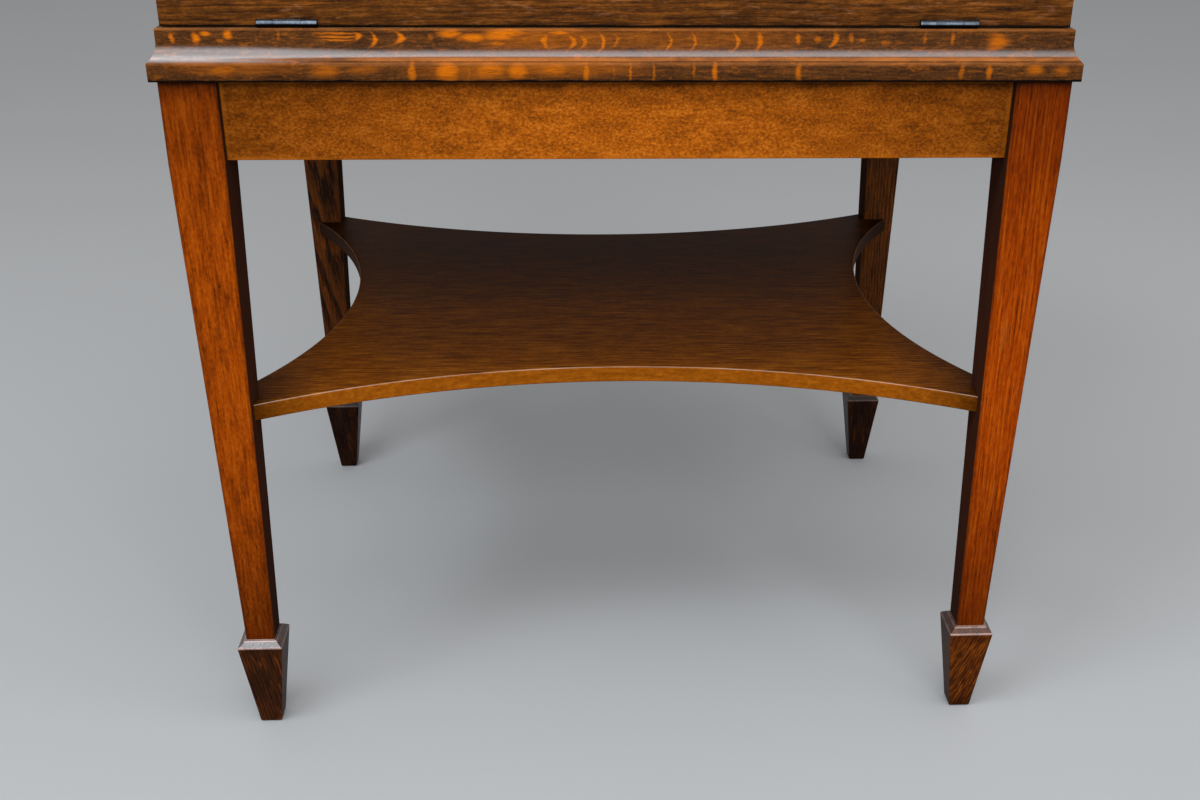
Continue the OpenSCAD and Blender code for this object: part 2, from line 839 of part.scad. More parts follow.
leg(-1, -1);  // leg_front_left
leg(1, -1);  // leg_front_right
leg(-1, 1);  // leg_back_left
leg(1, 1);  // leg_back_right
foot(-1, -1);  // foot_front_left
foot(1, -1);  // foot_front_right
foot(-1, 1);  // foot_back_left
foot(1, 1);  // foot_back_right
apron(stand_w - 2 * leg_w, stand_d / 2);  // apron_front
rotate([0, 0, 180]) apron(stand_w - 2 * leg_w, stand_d / 2);  // apron_back
rotate([0, 0, -90]) apron(stand_d - 2 * leg_w, stand_w / 2);  // apron_left
rotate([0, 0, 90]) apron(stand_d - 2 * leg_w, stand_w / 2);  // apron_right
shelf();
shelf_dowels();
frame_rail_long(-1);  // frame_rail_front
frame_rail_long(1);  // frame_rail_back
frame_rail_short(-1);  // frame_rail_left
frame_rail_short(1);  // frame_rail_right
moulding(chest_w, chest_d / 2);  // moulding_front
rotate([0, 0, 180]) moulding(chest_w, chest_d / 2);  // moulding_back
rotate([0, 0, -90]) moulding(chest_d, chest_w / 2);  // moulding_left
rotate([0, 0, 90]) moulding(chest_d, chest_w / 2);  // moulding_right
chest_bottom();
chest_side(-1);  // chest_side_left
chest_side(1);  // chest_side_right
chest_back();
well_board();
well_rail();
well_racks();
drawer_runners();
drawer_front(0);  // lower_drawer_front
drawer_side(-1, 0);  // lower_drawer_left
drawer_side(1, 0);  // lower_drawer_right
drawer_back(0);  // lower_drawer_back
drawer_bottom(0);  // lower_drawer_bottom
drawer_racks(0);  // lower_drawer_racks
drawer_front(1);  // upper_drawer_front
drawer_side(-1, 1);  // upper_drawer_left
drawer_side(1, 1);  // upper_drawer_right
drawer_back(1);  // upper_drawer_back
drawer_bottom(1);  // upper_drawer_bottom
drawer_racks(1);  // upper_drawer_racks
drawer_knobs();
flap();
escutcheon();
lock_case();
lock_bolt();
flap_hinge_leaf(-1, -1);  // flap_hinge_left_base_leaf
flap_hinge_leaf(1, -1);  // flap_hinge_right_base_leaf
flap_hinge_leaf(-1, 1);  // flap_hinge_left_flap_leaf
flap_hinge_leaf(1, 1);  // flap_hinge_right_flap_leaf
flap_hinge_pins();
color(steel) flap_hinge_screws(-1, 0);  // flap_hinge_base_screws
color(steel) flap_hinge_screws(1, 0);  // flap_hinge_flap_screws
lid();
lid_hinge_leaves(-1);  // lid_hinge_case_leaves
lid_hinge_leaves(1);  // lid_hinge_lid_leaves
lid_hinge_pins();
color(brass) lid_hinge_screws(-1, 0);  // lid_hinge_case_screws
color(brass) lid_hinge_screws(1, 0);  // lid_hinge_lid_screws
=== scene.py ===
"""Oak cutlery cabinet on a stand: its dressed pieces, their finishes and the studio round them."""
import logging
from dataclasses import dataclass, field, replace
from enum import Enum
from math import cos, radians, sin
from typing import Any, Callable, Sequence

import bmesh
import bpy
import numpy as np
from mathutils import Euler, Matrix, Vector


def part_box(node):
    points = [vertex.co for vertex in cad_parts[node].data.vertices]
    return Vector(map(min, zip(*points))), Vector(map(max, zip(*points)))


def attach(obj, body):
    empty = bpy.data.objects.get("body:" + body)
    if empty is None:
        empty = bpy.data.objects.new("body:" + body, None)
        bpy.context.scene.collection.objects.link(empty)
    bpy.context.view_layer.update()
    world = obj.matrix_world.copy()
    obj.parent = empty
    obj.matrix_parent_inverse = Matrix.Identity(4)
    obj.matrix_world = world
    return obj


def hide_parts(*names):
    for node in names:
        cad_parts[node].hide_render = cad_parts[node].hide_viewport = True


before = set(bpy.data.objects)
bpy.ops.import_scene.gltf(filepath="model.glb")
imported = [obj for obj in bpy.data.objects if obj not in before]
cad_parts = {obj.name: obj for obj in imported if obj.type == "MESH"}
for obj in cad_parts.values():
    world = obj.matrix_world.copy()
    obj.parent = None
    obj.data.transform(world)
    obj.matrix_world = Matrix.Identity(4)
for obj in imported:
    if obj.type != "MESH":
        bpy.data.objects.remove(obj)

Array = np.ndarray
Rgb = tuple[int, int, int]
Point = tuple[float, float, float]
Box = tuple[Vector, Vector]
Socket = bpy.types.NodeSocket
Results = dict[str, Socket]

LOG = logging.getLogger("cabinet")
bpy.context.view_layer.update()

ROOT, FLAP, LID, BOLT = "cabinet", "flap", "lid", "bolt"
SIDES = ("front", "back", "left", "right")
SQUARE = np.array([[-1, -1], [1, -1], [1, 1], [-1, 1]], float)
# Distance from a round to the points that keep the flat beside it flat, in metres.
SUPPORT = 0.0003
SHARP_ANGLE = radians(32)
# Most that the edge of a border wanders, and a distance past every piece, in metres.
RAGGED, FAR = 0.03, 9.0
# Width of the legs at the feet, and length of the aprons' tenons, in metres.
ANKLE_W, TENON_L = 0.0224, 0.014
# Lifts over which a calm figure turns lively and over which a lining begins, the wear over
# which the wax is rubbed off, and what is left of the figure's own flecks beside drawn ones.
LIVELY_LIFT, LINED_LIFT, WORN_OFF, FAINT = (0.3, 0.8), (0.5, 0.9), (0.08, 0.35), 0.3
# How far two noises move the outlines of drawn flecks, in metres.
WAVE_X, WAVE_Z, GRAIN_X = 0.004, 0.003, 0.002
# Colours of painted shade: black under a hinge's knuckle, and brown on faces turned from the light.
METAL_SHADE, SHADE = (22, 15, 11), (47, 34, 28)
BAIZE_DARK, BAIZE_LIGHT = (20, 52, 36), (44, 92, 62)


# Surfaces

def added(name: str, data: Any) -> bpy.types.Object:
    """New object at the origin, linked to the scene."""
    obj = bpy.data.objects.new(name, data)
    bpy.context.scene.collection.objects.link(obj)
    return obj


def smoothed(mesh: bpy.types.Mesh, name: str) -> bpy.types.Object:
    """New object of a mesh that is shaded smooth between its sharp edges."""
    mesh.shade_smooth()
    mesh.set_sharp_from_angle(angle=SHARP_ANGLE)
    return added(name, mesh)


@dataclass
class Surface:
    """A closed surface, with a mask of its arrises and one of the painted shade on its faces.

    Args:
        points: Its points, as rows of x, y and z in metres.
        faces: Its faces, each a list of places in points.
        arris: For each point, 1 on an arris and 0 away from it; on some pieces it also carries a
            painted highlight.
        inner: For each point, how much painted shade darkens the wood there.
    """

    points: Array
    faces: list[list[int]]
    arris: Array
    inner: Array | None = None

    def piece(self, name: str) -> bpy.types.Object:
        """Make a mesh object of the surface, with its faces pointing outwards.

        Args:
            name: The object's name.

        Returns:
            The new object, at the origin.
        """
        mesh = bpy.data.meshes.new(name)
        mesh.from_pydata(self.points.tolist(), [], self.faces)
        turn_outwards(mesh)
        for key, mask in (("arris", self.arris), ("inner", self.inner)):
            if mask is not None:
                layer = mesh.attributes.new(key, "FLOAT", "POINT")
                layer.data.foreach_set("value", mask.astype(np.float32).ravel())
        return smoothed(mesh, name)


def turn_outwards(mesh: bpy.types.Mesh) -> None:
    """Flip a closed mesh whose signed volume, the sum of a . (b x c) over its triangles, is negative.

    Args:
        mesh: The mesh to test.
    """
    mesh.calc_loop_triangles()
    corners = np.empty(len(mesh.loop_triangles) * 3, np.int32)
    mesh.loop_triangles.foreach_get("vertices", corners)
    points = np.empty(len(mesh.vertices) * 3, np.float32)
    mesh.vertices.foreach_get("co", points)
    a, b, c = np.moveaxis(points.reshape(-1, 3)[corners.reshape(-1, 3)], 1, 0)
    if np.einsum("ij,ij->", a, np.cross(b, c)) < 0:
        mesh.flip_normals()


def loft(rings: Array, arris: Array, inner: Array | None = None) -> Surface:
    """Closed surface through rings of points, with a flat cap on the first ring and the last.

    Formula: each face joins points j and j + 1 of ring i to the same points of ring i + 1.

    Args:
        rings: Points by ring, place round the ring, and x, y, z.
        arris: Mask of the arrises, by ring and place.
        inner: Mask of painted shade on the faces turned from the light, by ring and place.

    Returns:
        The surface.
    """
    count, around = rings.shape[:2]
    place = np.arange(count * around).reshape(count, around)
    ahead = np.roll(place, -1, axis=1)
    quads = np.stack([place[:-1], ahead[:-1], ahead[1:], place[1:]], axis=-1).reshape(-1, 4)
    caps = [place[0, ::-1].tolist(), place[-1].tolist()]
    return Surface(rings.reshape(-1, 3), quads.tolist() + caps, arris, inner)


def joined(parts: Sequence[Surface]) -> Surface:
    """Several closed surfaces as one.

    Args:
        parts: The surfaces.

    Returns:
        One surface that holds them all.
    """
    starts = np.cumsum([0] + [len(part.points) for part in parts[:-1]])
    faces = [
        [int(start) + place for place in face]
        for part, start in zip(parts, starts) for face in part.faces
    ]
    arris = np.concatenate([part.arris.ravel() for part in parts])
    return Surface(np.concatenate([part.points for part in parts]), faces, arris)


def eased(
    corners: Array, radius: Array | float, margin: float, steps: int = 3
) -> tuple[Array, Array]:
    """Closed outlines with round corners, and a mask that is 1 on the rounds.

    Formula: with A and B one radius from the corner C along its two sides, the round is
    (1 - t)^2 A + 2 t (1 - t) C + t^2 B for t from 0 to 1. A point close to A and B keeps the
    flats flat, and one at the margin from each ends the mask.

    Args:
        corners: Outlines' corners, with the last two axes place and x, y.
        radius: Radius of the rounds, as one number or one for each corner.
        margin: Distance over which the mask falls from 1 to 0.
        steps: Faces round each corner.

    Returns:
        The points, in the layout of corners, and the mask for one outline.
    """
    back = np.roll(corners, 1, axis=-2) - corners
    on = np.roll(corners, -1, axis=-2) - corners
    back = (back / np.linalg.norm(back, axis=-1, keepdims=True))[..., None, :]
    on = (on / np.linalg.norm(on, axis=-1, keepdims=True))[..., None, :]
    reach = np.broadcast_to(np.asarray(radius, float), corners.shape[:-1])[..., None, None]
    middle = corners[..., None, :]
    t = np.linspace(0, 1, steps + 1)[:, None]
    gaps = np.array([[margin], [SUPPORT]])
    rows = [
        middle + back * (reach + gaps),
        middle + back * reach * (1 - t) ** 2 + on * reach * t**2,
        middle + on * (reach + gaps[::-1]),
    ]
    points = np.concatenate(rows, axis=-2)
    mask = np.array([0, 1] + [1] * (steps + 1) + [1, 0], float)
    shape = corners.shape[:-2] + (-1, 2)
    return points.reshape(shape), np.tile(mask, corners.shape[-2])


def end_stations(length: float, radius: float, margin: float) -> tuple[Array, Array, Array]:
    """Places along a board at which its section is set, with the easing of both its ends.

    Formula: the outline of one end, from the middle of the end face round its corner to the
    side, is an eased corner in place and inset, and the other end is its mirror image.

    Args:
        length: Length of the board.
        radius: Radius of the arrises.
        margin: Distance over which the mask falls from 1 to 0.

    Returns:
        Places along the board, inset of the section at each, and mask at each.
    """
    far = radius * 9
    corners = np.array([[far, far], [0, far], [0, 0], [far, 0]])
    points, mask = eased(corners, radius, margin)
    row = len(points) // len(corners)
    place, inset, mask = points[2 * row:3 * row, 0], points[2 * row:3 * row, 1], mask[:row]
    return (
        np.concatenate([place, length - place[::-1]]),
        np.concatenate([inset, inset[::-1]]),
        np.concatenate([mask, mask[::-1]]),
    )


def board(
    low: Sequence[float], high: Sequence[float], radius: float = 0.0007, margin: float = 0.003
) -> Surface:
    """Board between two corners, with all its arrises eased.

    Formula: a rectangle with eased corners is carried along the board's longest side, and at
    both ends it shrinks by the inset that end_stations gives.

    Args:
        low: Its lowest corner.
        high: Its highest corner.
        radius: Radius of the arrises.
        margin: Distance over which the mask of the arrises falls from 1 to 0.

    Returns:
        The surface.
    """
    low, high = np.array(low, float), np.array(high, float)
    along = int(np.argmax(high - low))
    b, c = (along + 1) % 3, (along + 2) % 3
    margin = min(margin, float((high - low).min()) / 2 - radius - 2 * SUPPORT)
    place, inset, end_mask = end_stations(float(high[along] - low[along]), radius, margin)
    half = (high - low)[[b, c]] / 2
    corners = SQUARE * (half - inset[:, None])[:, None, :]
    rounds = np.maximum(radius - inset, radius / 9)[:, None]
    section, mask = eased(corners, rounds, margin)
    rings = np.empty(section.shape[:2] + (3,))
    rings[..., along] = low[along] + place[:, None]
    rings[..., [b, c]] = section + (low + high)[[b, c]] / 2
    return loft(rings, np.maximum(mask[None, :], end_mask[:, None]))


def turned(profile: Array, foot: Sequence[float], steps: int = 40) -> Surface:
    """Turned shape with its axis towards -Y.

    Formula: the profile's radius r and reach h give (r cos a, -h, r sin a) for each angle a.

    Args:
        profile: Rows of radius and reach, from the back to the tip.
        foot: Point on the axis at reach 0.
        steps: Faces round the axis.

    Returns:
        The surface.
    """
    angle = np.linspace(0, 2 * np.pi, steps, endpoint=False)
    radius, reach = profile[:, :1], profile[:, 1:]
    rings = np.stack(
        [radius * np.cos(angle), -reach + 0 * angle, radius * np.sin(angle)], axis=-1
    )
    return loft(rings + np.array(foot), np.zeros(rings.shape[:2]))


def merged_copy(name: str, node: str, bevel: float) -> bpy.types.Object:
    """Copy of a CAD node with its triangles merged into whole faces and its edges bevelled.

    It serves the pieces with mortises and bores, whose shape is already right.

    Args:
        name: Name of the new object.
        node: The CAD node.
        bevel: Width of the bevel.

    Returns:
        The new object, at the origin.
    """
    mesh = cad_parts[node].data.copy()
    mesh.name = name
    mesh.materials.clear()
    whole = bmesh.new()
    whole.from_mesh(mesh)
    bmesh.ops.remove_doubles(whole, verts=whole.verts, dist=1e-6)
    bmesh.ops.dissolve_limit(whole, angle_limit=radians(1), verts=whole.verts, edges=whole.edges)
    whole.to_mesh(mesh)
    whole.free()
    if "custom_normal" in mesh.attributes:
        mesh.attributes.remove(mesh.attributes["custom_normal"])
    obj = smoothed(mesh, name)
    ease = obj.modifiers.new("ease", "BEVEL")
    ease.width, ease.segments = bevel, 2
    ease.limit_method, ease.angle_limit = "ANGLE", SHARP_ANGLE
    ease.use_clamp_overlap, ease.harden_normals = False, True
    return obj


# Finishes

def linear(colour: Rgb) -> tuple[float, float, float, float]:
    """A screen colour from 0 to 255 as linear light, by the usual sRGB curve."""
    part = np.array(colour) / 255
    light = np.where(part <= 0.04045, part / 12.92, ((part + 0.055) / 1.055) ** 2.4)
    return (*light.tolist(), 1.0)


@dataclass
class Graph:
    """Short ways to make and join the nodes of one tree.

    Args:
        tree: The node tree.
    """

    tree: bpy.types.NodeTree

    def feed(self, node: bpy.types.Node, feeds: dict[Any, Any]) -> None:
        """Give a node's inputs their values or sockets.

        Args:
            node: The node.
            feeds: The values or sockets, by name or place.
        """
        for key, value in feeds.items():
            if isinstance(value, Socket):
                self.tree.links.new(value, node.inputs[key])
            else:
                node.inputs[key].default_value = value

    def add(self, kind: str, feeds: dict[Any, Any] | None = None, **settings: Any) -> bpy.types.Node:
        """Make a node.

        Args:
            kind: Its type, without the word ShaderNode.
            feeds: Values or sockets for its inputs, by name or place.
            **settings: Its own settings.

        Returns:
            The node.
        """
        node = self.tree.nodes.new("ShaderNode" + kind)
        for key, value in settings.items():
            setattr(node, key, value)
        self.feed(node, feeds or {})
        return node

    def group(self, name: str, feeds: dict[str, Any]) -> Any:
        """Results of a shared node group."""
        return self.add("Group", feeds, node_tree=shared_group(name)).outputs

    def math(self, operation: str, a: Any, b: Any = 0.0, c: Any = 0.0, clamp: bool = False) -> Socket:
        """Result of one operation on numbers or sockets."""
        feeds = {0: a, 1: b, 2: c}
        return self.add("Math", feeds, operation=operation, use_clamp=clamp).outputs[0]

    def times(self, a: Any, b: Any, plus: Any = 0.0, clamp: bool = False) -> Socket:
        """Product of a and b, plus a third value."""
        return self.math("MULTIPLY_ADD", a, b, plus, clamp)

    def less(self, a: Any, b: Any) -> Socket:
        """First value less the second."""
        return self.math("SUBTRACT", a, b)

    def most(self, a: Any, b: Any) -> Socket:
        """Larger of two values."""
        return self.math("MAXIMUM", a, b)

    def swing(self, mask: Any) -> Socket:
        """A mask taken about a half."""
        return self.less(mask, 0.5)

    def inverse(self, mask: Any) -> Socket:
        """What a mask leaves of 1."""
        return self.less(1.0, mask)

    def vectors(self, operation: str, a: Any, b: Any) -> Socket:
        """Result of one operation on vectors."""
        return self.add("VectorMath", {0: a, 1: b}, operation=operation).outputs[0]

    def part(self, vector: Socket, axis: str) -> Socket:
        """The x, y or z of a vector."""
        return self.add("SeparateXYZ", {0: vector}).outputs["xyz".index(axis)]

    def grey(self, level: Socket) -> Socket:
        """Grey of a level, as linear light."""
        return self.add("CombineColor", {0: level, 1: level, 2: level}).outputs[0]

    def noise(
        self, vector: Socket, along: float, across: float, detail: float, rough: float = 0.5,
        warp: float = 0.0,
    ) -> Socket:
        """Noise from 0 to 1 that changes the given number of times in a metre, along x and across."""
        feeds = {
            "Vector": self.vectors("MULTIPLY", vector, (along, across, across)), "Scale": 1.0,
            "Detail": detail, "Roughness": rough, "Distortion": warp,
        }
        return self.add("TexNoise", feeds).outputs["Fac"]

    def step(self, value: Any, low: Any, high: Any) -> Socket:
        """Smooth step from 0 at low to 1 at high."""
        feeds = {"Value": value, "From Min": low, "From Max": high}
        return self.add("MapRange", feeds, interpolation_type="SMOOTHSTEP").outputs["Result"]

    def mix(self, share: Any, a: Any, b: Any, blend: str = "MIX") -> Socket:
        """Colour a turned towards colour b by a share."""
        feeds = {"Factor": share, 6: a, 7: b}
        return self.add("Mix", feeds, data_type="RGBA", blend_type=blend).outputs[2]

    def bump(self, height: Socket, depth: float, strength: float) -> Socket:
        """Normal of a surface with a relief of that height and depth."""
        feeds = {"Height": height, "Distance": depth, "Strength": strength}
        return self.add("Bump", feeds).outputs[0]


def oak_figure(graph: Graph, given: Any) -> Results:
    """Figure of oak in the space of one board, with x along the grain and the pith at y = z = 0.

    The growth rings are circles about the pith: the distance from it, moved by a slow noise and a
    quick one, over the ring spacing. A noise along the grain breaks their lines into dashes.
    Fibres, pores and flecks are noises drawn out along the grain.

    Args:
        graph: The group's graph.
        given: The sockets of its inputs.

    Returns:
        The masks.
    """
    place = given["Vector"]
    slow = graph.swing(graph.noise(place, 7, 26, 2.0))
    quick = graph.swing(graph.noise(place, 26, 120, 2.0))
    wander = graph.times(quick, 0.3, slow)
    flat = graph.vectors("MULTIPLY", place, (0, 1, 1))
    across = graph.add("VectorMath", {0: flat}, operation="LENGTH").outputs["Value"]
    radius = graph.times(wander, given["Ring Wander"], across)
    phase = graph.math("FRACT", graph.math("DIVIDE", radius, given["Ring Spacing"]))
    whole = graph.most(graph.inverse(graph.step(phase, 0.0, 0.6)), graph.step(phase, 0.85, 1.0))
    dashes = graph.step(graph.noise(place, 55, 800, 2.0), 0.36, 0.6)
    porous = graph.step(graph.noise(place, 110, 1150, 2.0), 0.53, 0.67)
    return {
        "Rings": graph.times(whole, graph.times(dashes, 0.65, 0.35)),
        "Fibres": graph.noise(place, 48, 760, 4.0, 0.62),
        "Pores": graph.times(porous, graph.times(whole, 0.6, 0.4)),
        "Mottle": graph.noise(place, 24, 100, 4.0, 0.6),
        "Speckle": graph.noise(place, 300, 640, 3.0, 0.7),
        "Flecks": graph.step(graph.noise(place, 60, 300, 3.0, 0.55, 0.6), 0.56, 0.72),
    }


def drawn_fleck(graph: Graph, given: Any) -> Results:
    """One ray fleck on a face seen from the front, laid over those before it.

    With u and v the offsets from its middle over its half width and half height, and u bent by
    the square of v and leant by v, it fades out where u^2 + v^2 passes 1.

    Args:
        graph: The group's graph.
        given: The sockets of its inputs.

    Returns:
        The mask.
    """
    v = graph.math("DIVIDE", graph.less(given["Z"], given["Middle Z"]), given["Half Height"])
    v_squared = graph.times(v, v)
    bent = graph.times(v_squared, given["Bend"], graph.less(given["X"], given["Middle X"]))
    u = graph.math("DIVIDE", graph.times(v, given["Lean"], bent), given["Half Width"])
    reach = graph.math("SQRT", graph.times(u, u, v_squared))
    shape = graph.inverse(graph.step(reach, 0.25, 1.25))
    return {"Mask": graph.most(graph.times(shape, given["Weight"]), given["Before"])}


def oak_stain(graph: Graph, given: Any) -> Results:
    """Colour, roughness and relief of stained oak, from the masks of its figure.

    The tone is a half, plus each mask about its own middle times its amount. It runs from the dark
    colour through the middle one to the light one, and flecks, pores, painted shade and the arrises'
    colour, wear on some finishes and a painted highlight on others, are laid over it.

    Args:
        graph: The group's graph.
        given: The sockets of its inputs.

    Returns:
        The colour, roughness and height.
    """
    tone: Any = 0.5
    for mask, amount in (("Fibres", "Fibre"), ("Mottle", "Mottle"), ("Speckle", "Speckle")):
        tone = graph.times(graph.swing(given[mask]), given[amount + " Amount"], tone)
    tone = graph.less(tone, graph.times(graph.less(given["Rings"], 0.25), given["Ring Amount"]))
    colour = graph.mix(graph.times(tone, 2.0, clamp=True), given["Dark"], given["Middle"])
    colour = graph.mix(graph.times(tone, 2.0, -1.0, clamp=True), colour, given["Light"])
    lit = graph.times(graph.swing(given["Fibres"]), 1.2, 0.9)
    flecks = graph.times(graph.times(given["Flecks"], given["Fleck Amount"]), lit, clamp=True)
    colour = graph.mix(flecks, colour, given["Fleck Colour"])
    pores = graph.times(given["Pores"], given["Pore Amount"])
    colour = graph.mix(pores, colour, given["Pore Colour"])
    colour = graph.mix(1.0, colour, graph.grey(given["Keep"]), "MULTIPLY")
    # Painted shade: faces turned from the light are mixed towards the shade colour.
    inner = graph.times(given["Inner"], given["Inner Amount"])
    colour = graph.mix(inner, colour, given["Inner Colour"])
    uneven = graph.times(graph.step(given["Mottle"], 0.25, 0.65), 0.7, 0.3)
    # The arris colour is wear on some finishes and a painted highlight on others.
    wear_and_highlight = graph.times(graph.times(given["Arris"], given["Arris Amount"]), uneven)
    colour = graph.mix(graph.times(wear_and_highlight, graph.inverse(inner)), colour, given["Arris Colour"])
    rough = graph.times(graph.swing(given["Fibres"]), 0.25, given["Gloss"])
    return {
        "Color": colour,
        "Roughness": graph.times(pores, 0.2, rough, clamp=True),
        "Height": graph.times(given["Fibres"], 0.35, graph.times(pores, -1.0)),
    }


def border(graph: Graph, given: Any) -> Results:
    """Share of the colour that a darker border leaves, from 1 inside it down to 1 less its amount.

    The least of the six distances to the faces of a box, moved a little by a noise, is set
    against the width, over the soft share of which it falls, and the result is multiplied by that
    of the border before.

    Args:
        graph: The group's graph.
        given: The sockets of its inputs.

    Returns:
        The share that is kept.
    """
    from_low = graph.vectors("SUBTRACT", given["Vector"], given["Low"])
    to_high = graph.vectors("SUBTRACT", given["High"], given["Vector"])
    least = graph.vectors("MINIMUM", from_low, to_high)
    x, y, z = graph.add("SeparateXYZ", {0: least}).outputs
    nearest = graph.math("MINIMUM", x, graph.math("MINIMUM", y, z))
    ragged = graph.swing(graph.noise(given["Vector"], 60, 60, 3.0))
    moved = graph.times(ragged, graph.math("MINIMUM", given["Width"], RAGGED), nearest)
    firm = graph.times(given["Width"], graph.inverse(given["Soft"]))
    mask = graph.inverse(graph.step(moved, firm, given["Width"]))
    return {"Keep": graph.times(graph.inverse(graph.times(mask, given["Amount"])), given["Before"])}


def worn_metal(graph: Graph, given: Any) -> Results:
    """Colour and roughness of handled metal: a bright colour dulled in clouds and fine scratches.

    Args:
        graph: The group's graph.
        given: The sockets of its inputs.

    Returns:
        The colour, roughness and height.
    """
    clouds = graph.step(graph.noise(given["Vector"], 130, 130, 4.0, 0.65), 0.35, 0.7)
    scratches = graph.noise(given["Vector"], 90, 2600, 3.0, 0.6)
    dull = graph.times(clouds, given["Tarnish"])
    share = graph.times(graph.swing(scratches), 0.5, dull, clamp=True)
    return {
        "Color": graph.mix(share, given["Bright"], given["Dull"]),
        "Roughness": graph.times(share, 0.3, given["Gloss"], clamp=True),
        "Height": scratches,
    }


# The rule of each shared group, and the default value of each of its inputs.
GROUPS: dict[str, tuple[Callable[[Graph, Any], Results], dict[str, Any]]] = {
    "oak_figure": (
        oak_figure, {"Vector": (0.0, 0.0, 0.0), "Ring Spacing": 0.0028, "Ring Wander": 0.004},
    ),
    "drawn_fleck": (drawn_fleck, {
        "X": 0.0, "Z": 0.0, "Middle X": 0.0, "Middle Z": 0.0, "Half Width": 0.01,
        "Half Height": 0.005, "Bend": 0.0, "Lean": 0.0, "Weight": 1.0, "Before": 0.0,
    }),
    "oak_stain": (oak_stain, {
        "Rings": 0.0, "Fibres": 0.5, "Pores": 0.0, "Mottle": 0.5, "Speckle": 0.5, "Flecks": 0.0,
        "Arris": 0.0, "Inner": 0.0, "Keep": 1.0, "Gloss": 0.4,
        "Ring Amount": 0.3, "Fibre Amount": 1.0, "Pore Amount": 0.5, "Mottle Amount": 1.0,
        "Speckle Amount": 0.3, "Fleck Amount": 0.0, "Arris Amount": 0.5, "Inner Amount": 0.9,
        "Dark": (0.1, 0.04, 0.01, 1.0), "Middle": (0.3, 0.1, 0.02, 1.0),
        "Light": (0.5, 0.2, 0.05, 1.0), "Pore Colour": (0.008, 0.003, 0.001, 1.0),
        "Fleck Colour": (0.5, 0.2, 0.04, 1.0), "Arris Colour": (0.06, 0.02, 0.01, 1.0),
        "Inner Colour": linear(SHADE),
    }),
    "border": (border, {
        "Vector": (0.0, 0.0, 0.0), "Low": (-FAR, -FAR, -FAR), "High": (FAR, FAR, FAR),
        "Width": 0.01, "Amount": 0.5, "Soft": 1.0, "Before": 1.0,
    }),
    "worn_metal": (worn_metal, {
        "Vector": (0.0, 0.0, 0.0), "Bright": (0.5, 0.5, 0.5, 1.0), "Dull": (0.2, 0.2, 0.2, 1.0),
        "Tarnish": 0.5, "Gloss": 0.3,
    }),
}


def shared_group(name: str) -> bpy.types.NodeTree:
    """The node group of a name, made when it is first asked for.

    Args:
        name: Its name in GROUPS. There a tuple of four is a colour, and of three a vector.

    Returns:
        The node group.
    """
    if name in bpy.data.node_groups:
        return bpy.data.node_groups[name]
    rule, inputs = GROUPS[name]
    tree = bpy.data.node_groups.new(name, "ShaderNodeTree")
    for key, value in inputs.items():
        kind = {1: "Float", 3: "Vector", 4: "Color"}[np.size(value)]
        socket = tree.interface.new_socket(key, in_out="INPUT", socket_type="NodeSocket" + kind)
        socket.default_value = value
    graph = Graph(tree)
    results = rule(graph, tree.nodes.new("NodeGroupInput").outputs)
    for key, result in results.items():
        kind = "Color" if result.type == "RGBA" else "Float"
        tree.interface.new_socket(key, in_out="OUTPUT", socket_type="NodeSocket" + kind)
    graph.feed(tree.nodes.new("NodeGroupOutput"), results)
    return tree


@dataclass(frozen=True)
class Fleck:
    """One ray fleck drawn on a front face, in millimetres.

    Args:
        x: Its middle.
        z: Height of its middle.
        wide: Half its width.
        high: Half its height.
        weight: How much of it shows.
        bend: How far its ends lie to the left of its middle.
        lean: How far its top lies to the left of its middle.
    """

    x: float
    z: float
    wide: float
    high: float
    weight: float = 1.0
    bend: float = 0.0
    lean: float = 0.0


class Grain(Enum):
    """The way that the grain of a board runs, as the turn that brings it to x."""

    ALONG_X = (0.0, 0.0, 0.0)
    ALONG_Y = (0.0, 0.0, -90.0)
    ALONG_Z = (0.0, 90.0, 0.0)


@dataclass(frozen=True)
class Cut:
    """How one board was cut from its tree.

    Args:
        pith: Place of the piece's middle from the pith, in metres, across the grain.
        shift: Place along the tree, in metres, which makes two like boards differ.
        lean: Angle between the board and the pith, in degrees, which opens the rings to arches.
        slope: Angle of the grain to the piece's length on its front, in degrees.
        flecks: Ray flecks on its front, which stand out from the figure's own.
        grain: The way that its grain runs, if not along the piece's longest side.
    """

    pith: tuple[float, float] = (0.05, 0.08)
    shift: float = 0.0
    lean: float = 0.6
    slope: float = 0.0
    flecks: Sequence[Fleck] = ()
    grain: Grain | None = None

    def placed(self, box: Box) -> dict[str, Any]:
        """Location and rotation that bring a piece's own space to its tree's space.

        Args:
            box: Lowest and highest corner of the piece.

        Returns:
            Values for a Mapping node.
        """
        low, high = box
        grain = self.grain or list(Grain)[int(np.argmax(high - low))]
        turn = Euler([radians(a) for a in grain.value]).to_matrix()
        tilt = radians(self.lean + self.slope)
        rotation = Euler((0.0, tilt, radians(self.lean * 0.7))).to_matrix() @ turn
        location = Vector((self.shift, *self.pith)) - rotation @ ((low + high) / 2)
        return {"Location": location, "Rotation": rotation.to_euler()}


